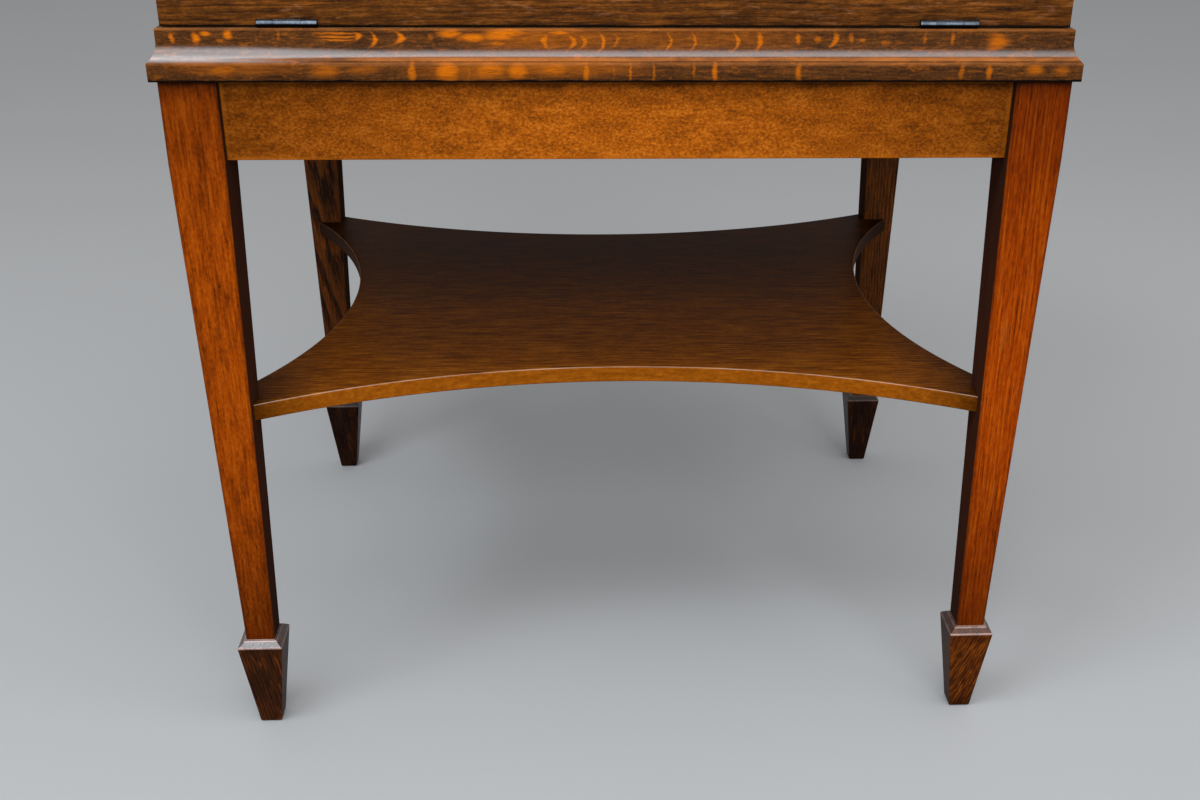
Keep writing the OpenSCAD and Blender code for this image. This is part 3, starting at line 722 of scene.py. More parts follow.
@dataclass(frozen=True)
class Border:
    """A darker border on some sides of a piece: painted shade and shadow on some pieces, darker wood
    and joints on others.

    Args:
        width: Its width in metres.
        amount: How much of the light it takes.
        low: The axes on which it lies at the low end, with l for the longest one.
        high: The axes on which it lies at the high end.
        soft: Share of its width over which it fades out.
    """

    width: float
    amount: float
    low: str = ""
    high: str = ""
    soft: float = 1.0

    def feeds(self, box: Box) -> dict[str, Any]:
        """The border group's values, with the box moved far off on each side that has no border.

        Args:
            box: Lowest and highest corner of the piece.

        Returns:
            Values by name.
        """
        longest = "xyz"[int(np.argmax(box[1] - box[0]))]
        low, high = (ends.replace("l", longest) for ends in (self.low, self.high))
        return {
            "Low": tuple(box[0][i] if axis in low else -FAR for i, axis in enumerate("xyz")),
            "High": tuple(box[1][i] if axis in high else FAR for i, axis in enumerate("xyz")),
            "Width": self.width, "Amount": self.amount, "Soft": self.soft,
        }


def piece_box(piece: bpy.types.Object) -> Box:
    """Lowest and highest corner of a piece's mesh."""
    points = np.empty(len(piece.data.vertices) * 3, np.float32)
    piece.data.vertices.foreach_get("co", points)
    points = points.reshape(-1, 3)
    return Vector(points.min(axis=0).tolist()), Vector(points.max(axis=0).tolist())


@dataclass(frozen=True)
class Finish:
    """What all finishes share.

    Args:
        slot: The record's material slot.
    """

    slot: str

    def look(self, graph: Graph, box: Box, cut: Cut) -> dict[str, Any]:
        """Values and sockets for a Principled shader.

        Args:
            graph: The material's graph.
            box: Lowest and highest corner of the piece.
            cut: How its board was cut, if it is one.

        Returns:
            The values and sockets, by the names of the shader's inputs.
        """
        raise NotImplementedError

    def dress(self, piece: bpy.types.Object, cut: Cut = Cut()) -> None:
        """Give a piece a material of its own with this finish.

        Args:
            piece: The piece.
            cut: How its board was cut, if it is one.
        """
        material = bpy.data.materials.new(f"{self.slot}_{piece.name}")
        material.use_nodes = True
        if not piece.material_slots:
            piece.data.materials.append(material)
        for holder in piece.material_slots:
            holder.material = material
        graph = Graph(material.node_tree)
        shader = material.node_tree.nodes["Principled BSDF"]
        graph.feed(shader, self.look(graph, piece_box(piece), cut))


@dataclass(frozen=True)
class Oak(Finish):
    """Stained and waxed oak.

    Args:
        dark: Colour of its darkest wood.
        middle: Colour of most of it.
        light: Colour of its palest wood.
        fleck: Colour of its ray flecks.
        arris: Colour that its arrises turn to: wear on some finishes, a painted highlight on others.
        amounts: How much each mask of the figure shows.
        borders: Its darker borders, painted shade on some finishes and darker wood on others.
        spacing: Distance between growth rings in metres.
        wander: How far the rings wander in metres.
        stretch: How many times shorter its figure is than that of plain oak.
        fine: How many times finer its figure is across the grain.
        gloss: Roughness of the wax.
        sheen: Level of its reflection.
        polish: What the wax adds to it on faces that look up.
        waxed: The lifts between which the wax begins and those between which it ends, from 0 for
            an upright face to 1 for a level one.
        flare: How much more lift the wax takes in at the left end.
        flare_x: Places in metres between which the flare ends.
        rubbed: Share of the wax that is rubbed off the arrises.
        calm: How much plainer the figure is on upright faces.
        relief: Depth of its pores in metres.
        lined: Whether green baize covers its upper face.
    """

    dark: Rgb
    middle: Rgb
    light: Rgb
    fleck: Rgb = (180, 100, 34)
    arris: Rgb = (60, 26, 12)
    amounts: dict[str, float] = field(default_factory=dict)
    borders: tuple[Border, ...] = ()
    spacing: float = 0.0028
    wander: float = 0.005
    stretch: float = 1.0
    fine: float = 1.0
    gloss: float = 0.42
    sheen: float = 0.1
    polish: float = 0.0
    waxed: tuple[float, float, float, float] = (0.2, 0.4, 1.9, 2.1)
    flare: float = 0.0
    flare_x: tuple[float, float] = (-0.27, -0.15)
    rubbed: float = 0.0
    calm: float = 0.0
    relief: float = 0.00012
    lined: bool = False

    def masks(self, graph: Graph, place: Socket, lift: Socket, box: Box, cut: Cut) -> Results:
        """Masks of the figure, the arrises and the painted shade of a piece.

        Args:
            graph: The material's graph.
            place: The piece's own coordinates.
            lift: How far its faces look up.
            box: Lowest and highest corner of the piece.
            cut: How its board was cut.

        Returns:
            The masks, by the names of the stain's inputs.
        """
        mapped = graph.add("Mapping", {"Vector": place, **cut.placed(box)}).outputs[0]
        figure = graph.group("oak_figure", {
            "Vector": graph.vectors("MULTIPLY", mapped, (self.stretch, self.fine, self.fine)),
            "Ring Spacing": self.spacing, "Ring Wander": self.wander,
        })
        masks = {output.name: output for output in figure}
        if cut.flecks:
            faint = graph.times(masks["Flecks"], FAINT)
            masks["Flecks"] = graph.most(drawn(graph, place, cut.flecks), faint)
        # The inner attribute is painted shade; the arris attribute carries a painted highlight on some
        # pieces.
        for key in ("Arris", "Inner"):
            masks[key] = graph.add("Attribute", attribute_name=key.lower()).outputs["Fac"]
        if self.calm:
            lively = graph.times(graph.step(lift, *LIVELY_LIFT), self.calm, 1 - self.calm)
            for key in ("Fibres", "Mottle"):
                masks[key] = graph.times(graph.swing(masks[key]), lively, 0.5)
        return masks

    def wax(self, graph: Graph, place: Socket, lift: Socket, masks: Results) -> Socket:
        """Level of reflection: the sheen, and the polish on waxed faces that look up.

        Args:
            graph: The material's graph.
            place: The piece's own coordinates.
            lift: How far its faces look up.
            masks: The masks of its figure.

        Returns:
            The level.
        """
        more = less = lift
        if self.flare:
            right = graph.step(graph.part(place, "x"), *self.flare_x)
            wide = graph.times(right, -self.flare, self.flare)
            more, less = graph.math("ADD", lift, wide), graph.less(lift, wide)
        waxed = graph.less(graph.step(more, *self.waxed[:2]), graph.step(less, *self.waxed[2:]))
        left = graph.times(graph.step(masks["Arris"], *WORN_OFF), -self.rubbed, 1.0)
        sheen = graph.times(graph.inverse(masks["Inner"]), self.sheen)
        return graph.times(graph.times(waxed, left), self.polish, sheen)

    def look(self, graph: Graph, box: Box, cut: Cut) -> dict[str, Any]:
        """Stained wood under its borders, some of them painted shade, and lining, with its relief and
        wax.

        Args:
            graph: The material's graph.
            box: Lowest and highest corner of the piece.
            cut: How its board was cut, if it is one.

        Returns:
            The values and sockets, by the names of the shader's inputs.
        """
        parts = graph.add("TexCoord").outputs
        place, lift = parts["Object"], graph.part(parts["Normal"], "z")
        masks = self.masks(graph, place, lift, box, cut)
        keep: Any = 1.0
        for edge in self.borders:
            feeds = {"Vector": place, "Before": keep, **edge.feeds(box)}
            keep = graph.group("border", feeds)["Keep"]
        stain = graph.group("oak_stain", {
            **masks, **{key + " Amount": value for key, value in self.amounts.items()},
            "Keep": keep, "Gloss": self.gloss,
            "Dark": linear(self.dark), "Middle": linear(self.middle), "Light": linear(self.light),
            "Fleck Colour": linear(self.fleck), "Arris Colour": linear(self.arris),
        })
        colour, rough = stain["Color"], stain["Roughness"]
        if self.lined:
            lining = graph.step(lift, *LINED_LIFT)
            green = graph.mix(nap(graph, place), linear(BAIZE_DARK), linear(BAIZE_LIGHT))
            colour, rough = graph.mix(lining, colour, green), graph.most(rough, lining)
        return {
            "Base Color": colour, "Roughness": rough,
            "Normal": graph.bump(stain["Height"], self.relief, 0.5),
            "Specular IOR Level": self.wax(graph, place, lift, masks),
        }


def drawn(graph: Graph, place: Socket, flecks: Sequence[Fleck]) -> Socket:
    """Mask of a row of drawn flecks, whose outlines are made ragged by two noises.

    Args:
        graph: The material's graph.
        place: The piece's own coordinates.
        flecks: The flecks.

    Returns:
        The mask.
    """
    waves = graph.swing(graph.noise(place, 90, 260, 3.0))
    grain = graph.swing(graph.noise(place, 160, 900, 2.0))
    x = graph.times(waves, WAVE_X, graph.times(grain, GRAIN_X, graph.part(place, "x")))
    z = graph.times(waves, WAVE_Z, graph.part(place, "z"))
    mask: Any = 0.0
    for fleck in flecks:
        mask = graph.group("drawn_fleck", {
            "X": x, "Z": z, "Middle X": fleck.x / 1000, "Middle Z": fleck.z / 1000,
            "Half Width": fleck.wide / 1000, "Half Height": fleck.high / 1000,
            "Bend": fleck.bend / 1000, "Lean": fleck.lean / 1000, "Weight": fleck.weight,
            "Before": mask,
        })["Mask"]
    return mask


def nap(graph: Graph, place: Socket) -> Socket:
    """Fine noise of the baize's short fibres."""
    return graph.noise(place, 900, 900, 4.0, 0.7)


@dataclass(frozen=True)
class Baize(Finish):
    """Green woollen cloth glued over wood."""

    def look(self, graph: Graph, box: Box, cut: Cut) -> dict[str, Any]:
        """Dull green that is paler in rubbed clouds.

        Args:
            graph: The material's graph.
            box: Lowest and highest corner of the piece.
            cut: How its board was cut, if it is one.

        Returns:
            The values and sockets, by the names of the shader's inputs.
        """
        place = graph.add("TexCoord").outputs["Object"]
        fibres = nap(graph, place)
        rubbed = graph.times(graph.noise(place, 40, 40, 3.0), 0.6, fibres)
        share = graph.math("SUBTRACT", rubbed, 0.3, clamp=True)
        return {
            "Base Color": graph.mix(share, linear(BAIZE_DARK), linear(BAIZE_LIGHT)),
            "Normal": graph.bump(fibres, 0.0003, 0.6),
            "Roughness": 0.95, "Specular IOR Level": 0.1, "Sheen Weight": 0.2,
        }


@dataclass(frozen=True)
class Metal(Finish):
    """Worn metal.

    Args:
        bright: Colour where it is rubbed.
        dull: Colour where it is tarnished.
        tarnish: Share of tarnish.
        gloss: Roughness where it is rubbed.
        shade_z: Heights between which the black painted shade at its foot ends, on the shaded underside
            of a hinge's knuckle.
    """

    bright: Rgb
    dull: Rgb
    tarnish: float = 0.6
    gloss: float = 0.3
    shade_z: tuple[float, float] = (-1.0008, -0.9998)

    def look(self, graph: Graph, box: Box, cut: Cut) -> dict[str, Any]:
        """Clouded and scratched metal with painted shade at its foot.

        Args:
            graph: The material's graph.
            box: Lowest and highest corner of the piece.
            cut: How its board was cut, if it is one.

        Returns:
            The values and sockets, by the names of the shader's inputs.
        """
        place = graph.add("TexCoord").outputs["Object"]
        metal = graph.group("worn_metal", {
            "Vector": place, "Bright": linear(self.bright), "Dull": linear(self.dull),
            "Tarnish": self.tarnish, "Gloss": self.gloss,
        })
        # Painted shade at the foot, where a hinge's knuckle turns away from the light.
        shade_share = graph.inverse(graph.step(graph.part(place, "z"), *self.shade_z))
        return {
            "Base Color": graph.mix(shade_share, metal["Color"], linear(METAL_SHADE)), "Metallic": 1.0,
            "Roughness": graph.times(shade_share, 0.5, metal["Roughness"], clamp=True),
            "Normal": graph.bump(metal["Height"], 0.00002, 0.4),
        }


LEG_AMOUNTS = {
    "Ring": 0.15, "Fibre": 1.6, "Pore": 0.16, "Mottle": 0.6, "Speckle": 1.0, "Fleck": 0.3,
    "Arris": 0.4,
}
# The legs' borders: darker towards both ends, and a painted shadow under the moulding at the top.
LEG_BORDERS = (
    Border(0.13, 0.4, low="z", high="z"), Border(0.016, 0.3, high="z"),
    Border(0.006, 0.8, high="z", soft=0.9),
)
MOTTLED_LEG = Oak(
    "oak_leg", (80, 31, 2), (152, 62, 2), (188, 90, 10), fleck=(206, 112, 32),
    arris=(50, 22, 4), amounts=LEG_AMOUNTS, borders=(*LEG_BORDERS, Border(0.24, 0.45, low="z")),
    stretch=0.9, fine=0.8, sheen=0.03,
)
LINED_LEG = Oak(
    "oak_leg", (88, 32, 1), (162, 60, 1), (196, 92, 8), arris=(56, 22, 4),
    amounts={**LEG_AMOUNTS, "Ring": 0.22, "Mottle": 0.5, "Pore": 0.2},
    borders=(*LEG_BORDERS, Border(0.28, 0.42, low="z"), Border(0.3, 0.25, high="z")),
    spacing=0.0024, wander=0.008, stretch=0.5, sheen=0.03,
)
DARK_LEG = Oak(
    "oak_leg", (32, 14, 3), (80, 41, 10), (120, 62, 13), fleck=(190, 84, 14), arris=(36, 16, 5),
    amounts={**LEG_AMOUNTS, "Ring": 0.5, "Pore": 0.5}, borders=LEG_BORDERS, spacing=0.0022,
    wander=0.008, sheen=0.03,
)
ARCHED_LEG = replace(
    DARK_LEG, dark=(20, 9, 4), middle=(72, 36, 9), light=(108, 56, 12),
    amounts={**DARK_LEG.amounts, "Ring": 0.9, "Mottle": 0.3}, spacing=0.0042, wander=0.009,
    stretch=0.7, fine=1.5,
)
# The feet's pale arris colour is a painted highlight on the shoulder's arrises.
FOOT = Oak(
    "oak_foot", (22, 9, 3), (52, 24, 8), (98, 48, 12), fleck=(146, 72, 16), arris=(196, 160, 148),
    amounts={"Ring": 0.3, "Fibre": 1.3, "Mottle": 1.1, "Pore": 0.3, "Fleck": 0.4, "Arris": 0.7},
    gloss=0.3, sheen=0.04, polish=1.0,
)
STREAKED_FOOT = replace(
    FOOT, dark=(28, 12, 3), middle=(76, 33, 5), light=(146, 72, 10), polish=0.55,
    amounts={**FOOT.amounts, "Ring": 0.3, "Fibre": 2.5, "Mottle": 0.9}, stretch=0.8, fine=1.5,
    borders=(Border(0.02, 0.3, high="z"), Border(0.024, 0.55, low="z")),
)
DIM_FOOT = replace(
    FOOT, dark=(16, 8, 6), middle=(32, 16, 10), light=(60, 31, 14), polish=0.15,
    amounts={**FOOT.amounts, "Arris": 0.15, "Fleck": 0.15},
)
APRON = Oak(
    "oak_apron", (112, 56, 12), (167, 83, 8), (208, 116, 30), arris=(190, 104, 22),
    amounts={
        "Ring": 0.05, "Fibre": 0.4, "Pore": 0.1, "Mottle": 1.2, "Speckle": 2.3, "Fleck": 0.1,
        "Arris": 0.4,
    },
    # Borders: darker towards the ends; painted shade with some darker stain along the top; painted
    # shade beside the legs; a painted shadow under the moulding.
    borders=(
        Border(0.26, 0.5, low="l", high="l"), Border(0.02, 0.35, high="z"),
        Border(TENON_L + 0.012, 0.4, low="l", high="l"), Border(0.0075, 0.75, high="z", soft=0.85),
    ),
    wander=0.012, stretch=1.6, sheen=0.03,
)
# The pale arris colour is a painted highlight along the hollow's lip and, with wear, on the arrises.
# Borders: a painted shadow line at the fillet's foot, and darker towards the bottom.
MOULDING = Oak(
    "oak_moulding", (46, 27, 15), (82, 47, 20), (124, 71, 25), fleck=(222, 114, 4),
    arris=(214, 126, 58),
    amounts={
        "Ring": 0.1, "Fibre": 1.4, "Pore": 0.4, "Mottle": 0.8, "Speckle": 1.2, "Fleck": 0.9,
        "Arris": 0.75,
    },
    borders=(Border(0.0018, 0.95, low="z", soft=0.4), Border(0.01, 0.25, low="z")), stretch=1.6,
    gloss=0.42, sheen=0.04, polish=1.8, waxed=(0.25, 0.52, 0.54, 0.7), flare=0.15, rubbed=0.95,
    relief=0.00001,
)
# The pale arris colour is a painted highlight along the front edge's crest. Borders: painted shade over
# the top face, painted shadow of the chest towards the back, a darker joint between boards, painted
# shade at the tips beside the legs.
SHELF = Oak(
    "oak_shelf", (92, 47, 5), (150, 79, 11), (194, 114, 26), arris=(222, 186, 160),
    amounts={
        "Ring": 0.08, "Fibre": 2.3, "Pore": 0.15, "Mottle": 0.5, "Speckle": 0.7, "Fleck": 0.05,
        "Arris": 0.7,
    },
    borders=(
        Border(0.0016, 0.4, high="z"), Border(0.42, 0.7, high="y", soft=0.75),
        Border(0.262, 0.15, high="y", soft=0.03), Border(0.08, 0.8, low="x", high="x"),
    ),
    wander=0.006, stretch=0.8, fine=0.6, sheen=0.01, calm=0.7,
)
# Borders: darker towards the top and the bottom, and a painted shadow line at the foot of each piece.
CHEST = Oak(
    "oak_chest", (46, 24, 7), (93, 50, 12), (146, 82, 24), fleck=(160, 104, 66), arris=(36, 18, 7),
    amounts={
        "Ring": 0.3, "Fibre": 1.6, "Pore": 0.45, "Mottle": 1.1, "Speckle": 0.8, "Fleck": 0.4,
        "Arris": 0.6,
    },
    borders=(Border(0.016, 0.35, low="z", high="z"), Border(0.0018, 0.9, low="z", soft=0.4)),
    spacing=0.0036, wander=0.01, stretch=1.1, sheen=0.05, relief=0.0002,
)
CARCASS = Oak(
    "oak_plain", (118, 78, 42), (164, 118, 70), (190, 148, 98), fleck=(196, 158, 110),
    arris=(120, 82, 46),
    amounts={"Ring": 0.5, "Fibre": 1.1, "Pore": 0.6, "Mottle": 0.6, "Speckle": 0.2, "Fleck": 0.1},
    spacing=0.0036, wander=0.008, gloss=0.6,
)
# The steel's band of painted shade darkens the underside of the hinges' knuckles.
STEEL = Metal("steel", (106, 114, 124), (58, 62, 68), tarnish=0.6, gloss=0.42, shade_z=(0.5592, 0.5602))
BRASS = Metal("brass", (196, 158, 84), (104, 74, 36), tarnish=0.7, gloss=0.28)
BAIZE = Baize("baize")

MOULDING_FLECKS = [
    Fleck(-292, 551, 2, 4, 0.8), Fleck(-277, 551, 3, 4.5), Fleck(-270, 554, 4, 2),
    Fleck(-256, 553, 3.5, 3.5), Fleck(-262, 549, 3, 1.6, 0.5), Fleck(-224, 552, 1, 3, 0.4),
    Fleck(-185, 554, 14, 0.8, 0.8), Fleck(-185, 551.8, 16, 0.9, 0.9),
    Fleck(-186, 549.6, 13, 0.8, 0.8), Fleck(-172, 552, 2, 3.2, 1, 3),
    Fleck(-161, 550, 1.8, 5, 1, 4), Fleck(-144, 551, 2.8, 4.4, 1, 6),
    Fleck(-126, 551, 1.8, 2.8, 0.4), Fleck(-113, 553.6, 9, 2.8), Fleck(-98, 551.2, 11, 3.2),
    Fleck(-76, 554.4, 17, 2.6), Fleck(-82, 551.8, 12, 2.8), Fleck(-81, 547.6, 6, 1.4, 0.8),
    Fleck(-64, 550, 3.5, 4, 0.45), Fleck(-51.5, 549, 2.6, 5.5, 1, -4),
    Fleck(-31.5, 549, 2.5, 6, 1, 5), Fleck(-41.5, 554.7, 8.5, 1.3),
    Fleck(-24, 549, 2, 5.5, 0.85, 5), Fleck(-11.5, 549, 1.7, 7.5, 0.9, 5),
    Fleck(-3, 550, 1.3, 6, 0.6, 4), Fleck(32.5, 549, 1.4, 7, 0.8, 5),
    Fleck(48.5, 549, 1.4, 7, 0.8, 4), Fleck(77, 549, 1.6, 7, 0.9, 4.5),
    Fleck(92, 549.5, 2.2, 6.5, 0.9, 2.5), Fleck(117, 550.5, 2, 4, 0.8),
    Fleck(130, 550.5, 2.6, 2.4, 0.6), Fleck(142, 550, 2.2, 6, 0.8, 3, -2),
    Fleck(152, 551, 1.6, 4, 0.5), Fleck(159.5, 549.5, 2.6, 1.6, 0.5), Fleck(175.5, 548, 4, 2, 0.35),
    Fleck(202, 551, 1.4, 4, 0.4), Fleck(220.5, 551, 1.5, 4.5, 0.5), Fleck(252, 549, 8, 6, 0.7, 5),
    Fleck(35, 551, 100, 9, 0.22), Fleck(-50, 551, 62, 9, 0.34), Fleck(-45, 532, 68, 6, 0.36),
    Fleck(-95, 531, 55, 7, 0.35), Fleck(-250, 532, 50, 5, 0.25), Fleck(-261, 531.5, 12, 4.5, 0.5),
    Fleck(-195, 531, 12, 5, 0.5), Fleck(-169, 532, 12, 3.5, 0.35), Fleck(-138, 530, 3.2, 7, 0.85),
    Fleck(-115, 530, 10, 7.5), Fleck(-101, 530, 0.9, 6, 0.6), Fleck(-87, 531, 13, 6, 0.8),
    Fleck(-69, 531, 9, 6, 0.95), Fleck(-44, 532, 13, 5.5, 0.65), Fleck(-23.5, 530, 2.5, 7, 0.9, 1),
    Fleck(-6, 531, 1, 6, 0.4), Fleck(5.5, 530, 1.3, 7, 0.7), Fleck(21, 530, 1.2, 7, 0.5),
    Fleck(47.5, 531, 1.2, 6, 0.4), Fleck(61.5, 530, 2.2, 7, 0.9), Fleck(117, 530, 2.2, 6, 0.8, -1),
    Fleck(227, 530, 2, 6, 0.5), Fleck(245.5, 530, 2.2, 6, 0.7), Fleck(276.5, 531.5, 7, 4, 0.7),
    Fleck(295, 531, 6, 4, 0.4),
]
BACK_LEG_FLECKS = [
    Fleck(299, 275, 1.6, 5, 0.8, 2), Fleck(281, 262, 2, 3, 0.8, 0, 1), Fleck(290, 240, 1, 4, 0.5),
    Fleck(285, 212, 1, 6, 0.4),
]
LEG_FLECKS = [
    Fleck(-291, 158, 0.9, 13, 0.7, 0, 3), Fleck(-284, 146, 0.8, 15, 0.7, 0, 4),
    Fleck(-288, 128, 0.8, 11, 0.6, 0, 3), Fleck(-281, 116, 0.9, 13, 0.8, 0, 4),
    Fleck(-290, 103, 1, 10, 0.8, 0, 2), Fleck(-285, 96, 0.9, 9, 0.7, 0, 2),
]


# Pieces

@dataclass
class Part:
    """A piece that stands for one CAD node, here a plain board with eased arrises.

    Args:
        node: The CAD node.
        finish: Its finish.
        cut: How its wood was cut.
        body: The body that it moves with.
        radius: Radius of its arrises.
    """

    node: str
    finish: Finish
    cut: Cut = Cut()
    body: str = ROOT
    radius: float = 0.0008

    @property
    def name(self) -> str:
        """Name of its object."""
        return "oak_" + self.node

    def surface(self) -> Surface:
        """The piece's surface."""
        return board(*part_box(self.node), self.radius)

    def shape(self) -> bpy.types.Object:
        """Make the piece's object, still without its finish."""
        return self.surface().piece(self.name)

    def build(self) -> None:
        """Make and dress the piece, let it ride on its body in its node's place, and report it."""
        piece = self.shape()
        self.finish.dress(piece, self.cut)
        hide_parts(self.node)
        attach(piece, self.body)
        count = len(piece.data.vertices)
        LOG.info("%s: %d points, on %s, for %s", self.name, count, self.body, self.node)


@dataclass
class JointedBoard(Part):
    """A board with mortises or bores, copied from its CAD node and bevelled."""

    radius: float = 0.0005

    def shape(self) -> bpy.types.Object:
        """Make the piece's object from its CAD node."""
        return merged_copy(self.name, self.node, self.radius)


@dataclass
class Fitting(JointedBoard):
    """A metal fitting, copied from its CAD node and bevelled."""

    radius: float = 0.00018

    @property
    def name(self) -> str:
        """Name of its object."""
        return "metal_" + self.node


def square_rings(
    centre: Sequence[float], heights: Array, half_widths: Array, radius: float, margin: float
) -> tuple[Array, Array]:
    """Level square rings with eased corners about an upright axis.

    Formula: ring i is a square of the given half width at the given height.

    Args:
        centre: A point on the axis.
        heights: Height of each ring.
        half_widths: Half width of each ring.
        radius: Radius of the corners.
        margin: Distance over which the mask falls from 1 to 0.

    Returns:
        The rings' points and their mask.
    """
    flat, mask = eased(SQUARE * half_widths[:, None, None], radius, margin)
    rings = np.empty(flat.shape[:2] + (3,))
    rings[..., :2] = flat + np.array(centre[:2])
    rings[..., 2] = heights[:, None]
    return rings, np.tile(mask, (len(heights), 1))


def inward(ring: Array, centre: Sequence[float]) -> Array:
    """For each point of a square ring, whether it is on the side that faces the stand's middle.

    Args:
        ring: The ring's points.
        centre: A point on its axis.

    Returns:
        For each point, the answer across x and that across y.
    """
    away = ring[:, :2] - np.array(centre[:2])
    return -np.sign(centre[:2]) * away / away.max() > 0.999


@dataclass
class Leg(Part):
    """Square leg, straight beside the aprons and tapered below them, with a round tenon.

    Args:
        ankle_w: Its width at the foot.
        tenon_d: Diameter of the tenon.
        fade: Distance over which the wear of its arrises fades.
        front_shade: How much painted shade darkens the inner face that looks forwards.
    """

    radius: float = 0.0011
    ankle_w: float = ANKLE_W
    tenon_d: float = 0.012
    fade: float = 0.0016
    front_shade: float = 0.25

    def surface(self) -> Surface:
        """The leg's surface, with the masks of its arrises and of the painted shade on its inner faces.

        Formula: square rings at the foot, at the foot of the aprons and at the top, with the
        half widths of the taper, under which the ring shrinks to the tenon's circle.

        Returns:
            The surface.
        """
        low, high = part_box(self.node)
        centre = (low + high) / 2
        foot_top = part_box(self.node.replace("leg", "foot"))[1].z
        heights = np.array([low.z, foot_top, foot_top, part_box("apron_front")[0].z, high.z])
        halves = np.array([self.ankle_w] * 3 + [high.x - low.x] * 2) / 2
        rings, mask = square_rings(centre, heights, halves, self.radius, self.fade)
        axis = np.array(centre[:2])
        out = rings[:2, :, :2] - axis
        rings[:2, :, :2] = out / np.linalg.norm(out, axis=-1, keepdims=True) * self.tenon_d / 2 + axis
        # Painted shade on the inner faces, less on the forward-looking one of a back leg.
        shade = np.array([1.0, self.front_shade if centre.y > 0 else 1.0])
        inner = np.max(inward(rings[-1], centre) * shade, axis=-1)
        return loft(rings, mask, np.tile(inner, (len(rings), 1)))


@dataclass
class Foot(Part):
    """Spade foot with a bevelled shoulder and a chamfered sole.

    Args:
        ankle_w: Width at the leg.
        toe_w: Width at the floor.
        bevel_h: Height of the shoulder's bevel.
        chamfer: Chamfer round the sole.
        quirk: Width of the flatter strip of the bevel beside the leg.
        outline_r: Radius at each corner of its outline, from the sole's middle to the ankle's.
        fades: Distance over which the painted highlight on its arrises fades up its outline, and the
            margin of the support points across its sides.
        shaded: How much painted shade darkens the inner faces of a front foot.
    """

    radius: float = 0.0006
    ankle_w: float = ANKLE_W
    toe_w: float = 0.017
    bevel_h: float = 0.0048
    chamfer: float = 0.0012
    quirk: float = 0.0016
    outline_r: tuple[float, ...] = (0.0, 0.0002, 0.0003, 0.0006, 0.0004, 0.0002, 0.0)
    fades: tuple[float, float] = (0.0004, 0.003)
    shaded: float = 0.75

    def surface(self) -> Surface:
        """The foot's surface.

        Formula: square rings whose half width and height follow the foot's outline, from the
        sole by the chamfer to the shoulder and over the bevel, with each corner eased.

        Returns:
            The surface.
        """
        low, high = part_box(self.node)
        centre = (low + high) / 2
        half, toe, ankle = (high.x - low.x) / 2, self.toe_w / 2, self.ankle_w / 2
        corners = np.array([
            [0.0, low.z], [toe - self.chamfer, low.z], [toe, low.z + self.chamfer],
            [half, high.z - self.bevel_h], [ankle + self.quirk, high.z - self.quirk / 2],
            [ankle, high.z], [0.0, high.z],
        ])
        outline, mask = eased(corners, self.outline_r, self.fades[0])
        row = len(outline) // len(corners)
        # The arris mask, a painted highlight, is kept only on the shoulder and the ankle.
        mask[:3 * row] = 0
        kept = slice(row + 1, -row - 1)
        widths, heights = outline[kept].T
        rings, _ = square_rings(centre, heights, widths, self.radius, self.fades[1])
        # Painted shade on a front foot's inner faces.
        inner = inward(rings[0], centre).any(axis=-1) * (self.shaded if centre.y < 0 else 0.0)
        arris = np.broadcast_to(mask[kept][:, None], rings.shape[:2])
        return loft(rings, arris, np.tile(inner, (len(rings), 1)))


@dataclass
class Apron(Part):
    """Apron with its tenons.

    Args:
        tenon_t: Thickness of each tenon.
        shoulder: Shoulder above and below each tenon.
    """

    radius: float = 0.0009
    tenon_t: float = 0.008
    shoulder: float = 0.009

    def surface(self) -> Surface:
        """The apron's board, and the bar that its two tenons are the ends of.

        Returns:
            The surface.
        """
        low, high = (np.array(corner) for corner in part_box(self.node))
        along = int(np.argmax((high - low)[:2]))
        across = 1 - along
        inset = np.zeros(3)
        inset[along] = TENON_L
        tenon_inset = np.array([0.0, 0.0, self.shoulder])
        tenon_inset[across] = (high[across] - low[across] - self.tenon_t) / 2
        face = board(low + inset, high - inset, self.radius)
        return joined([face, board(low + tenon_inset, high - tenon_inset)])


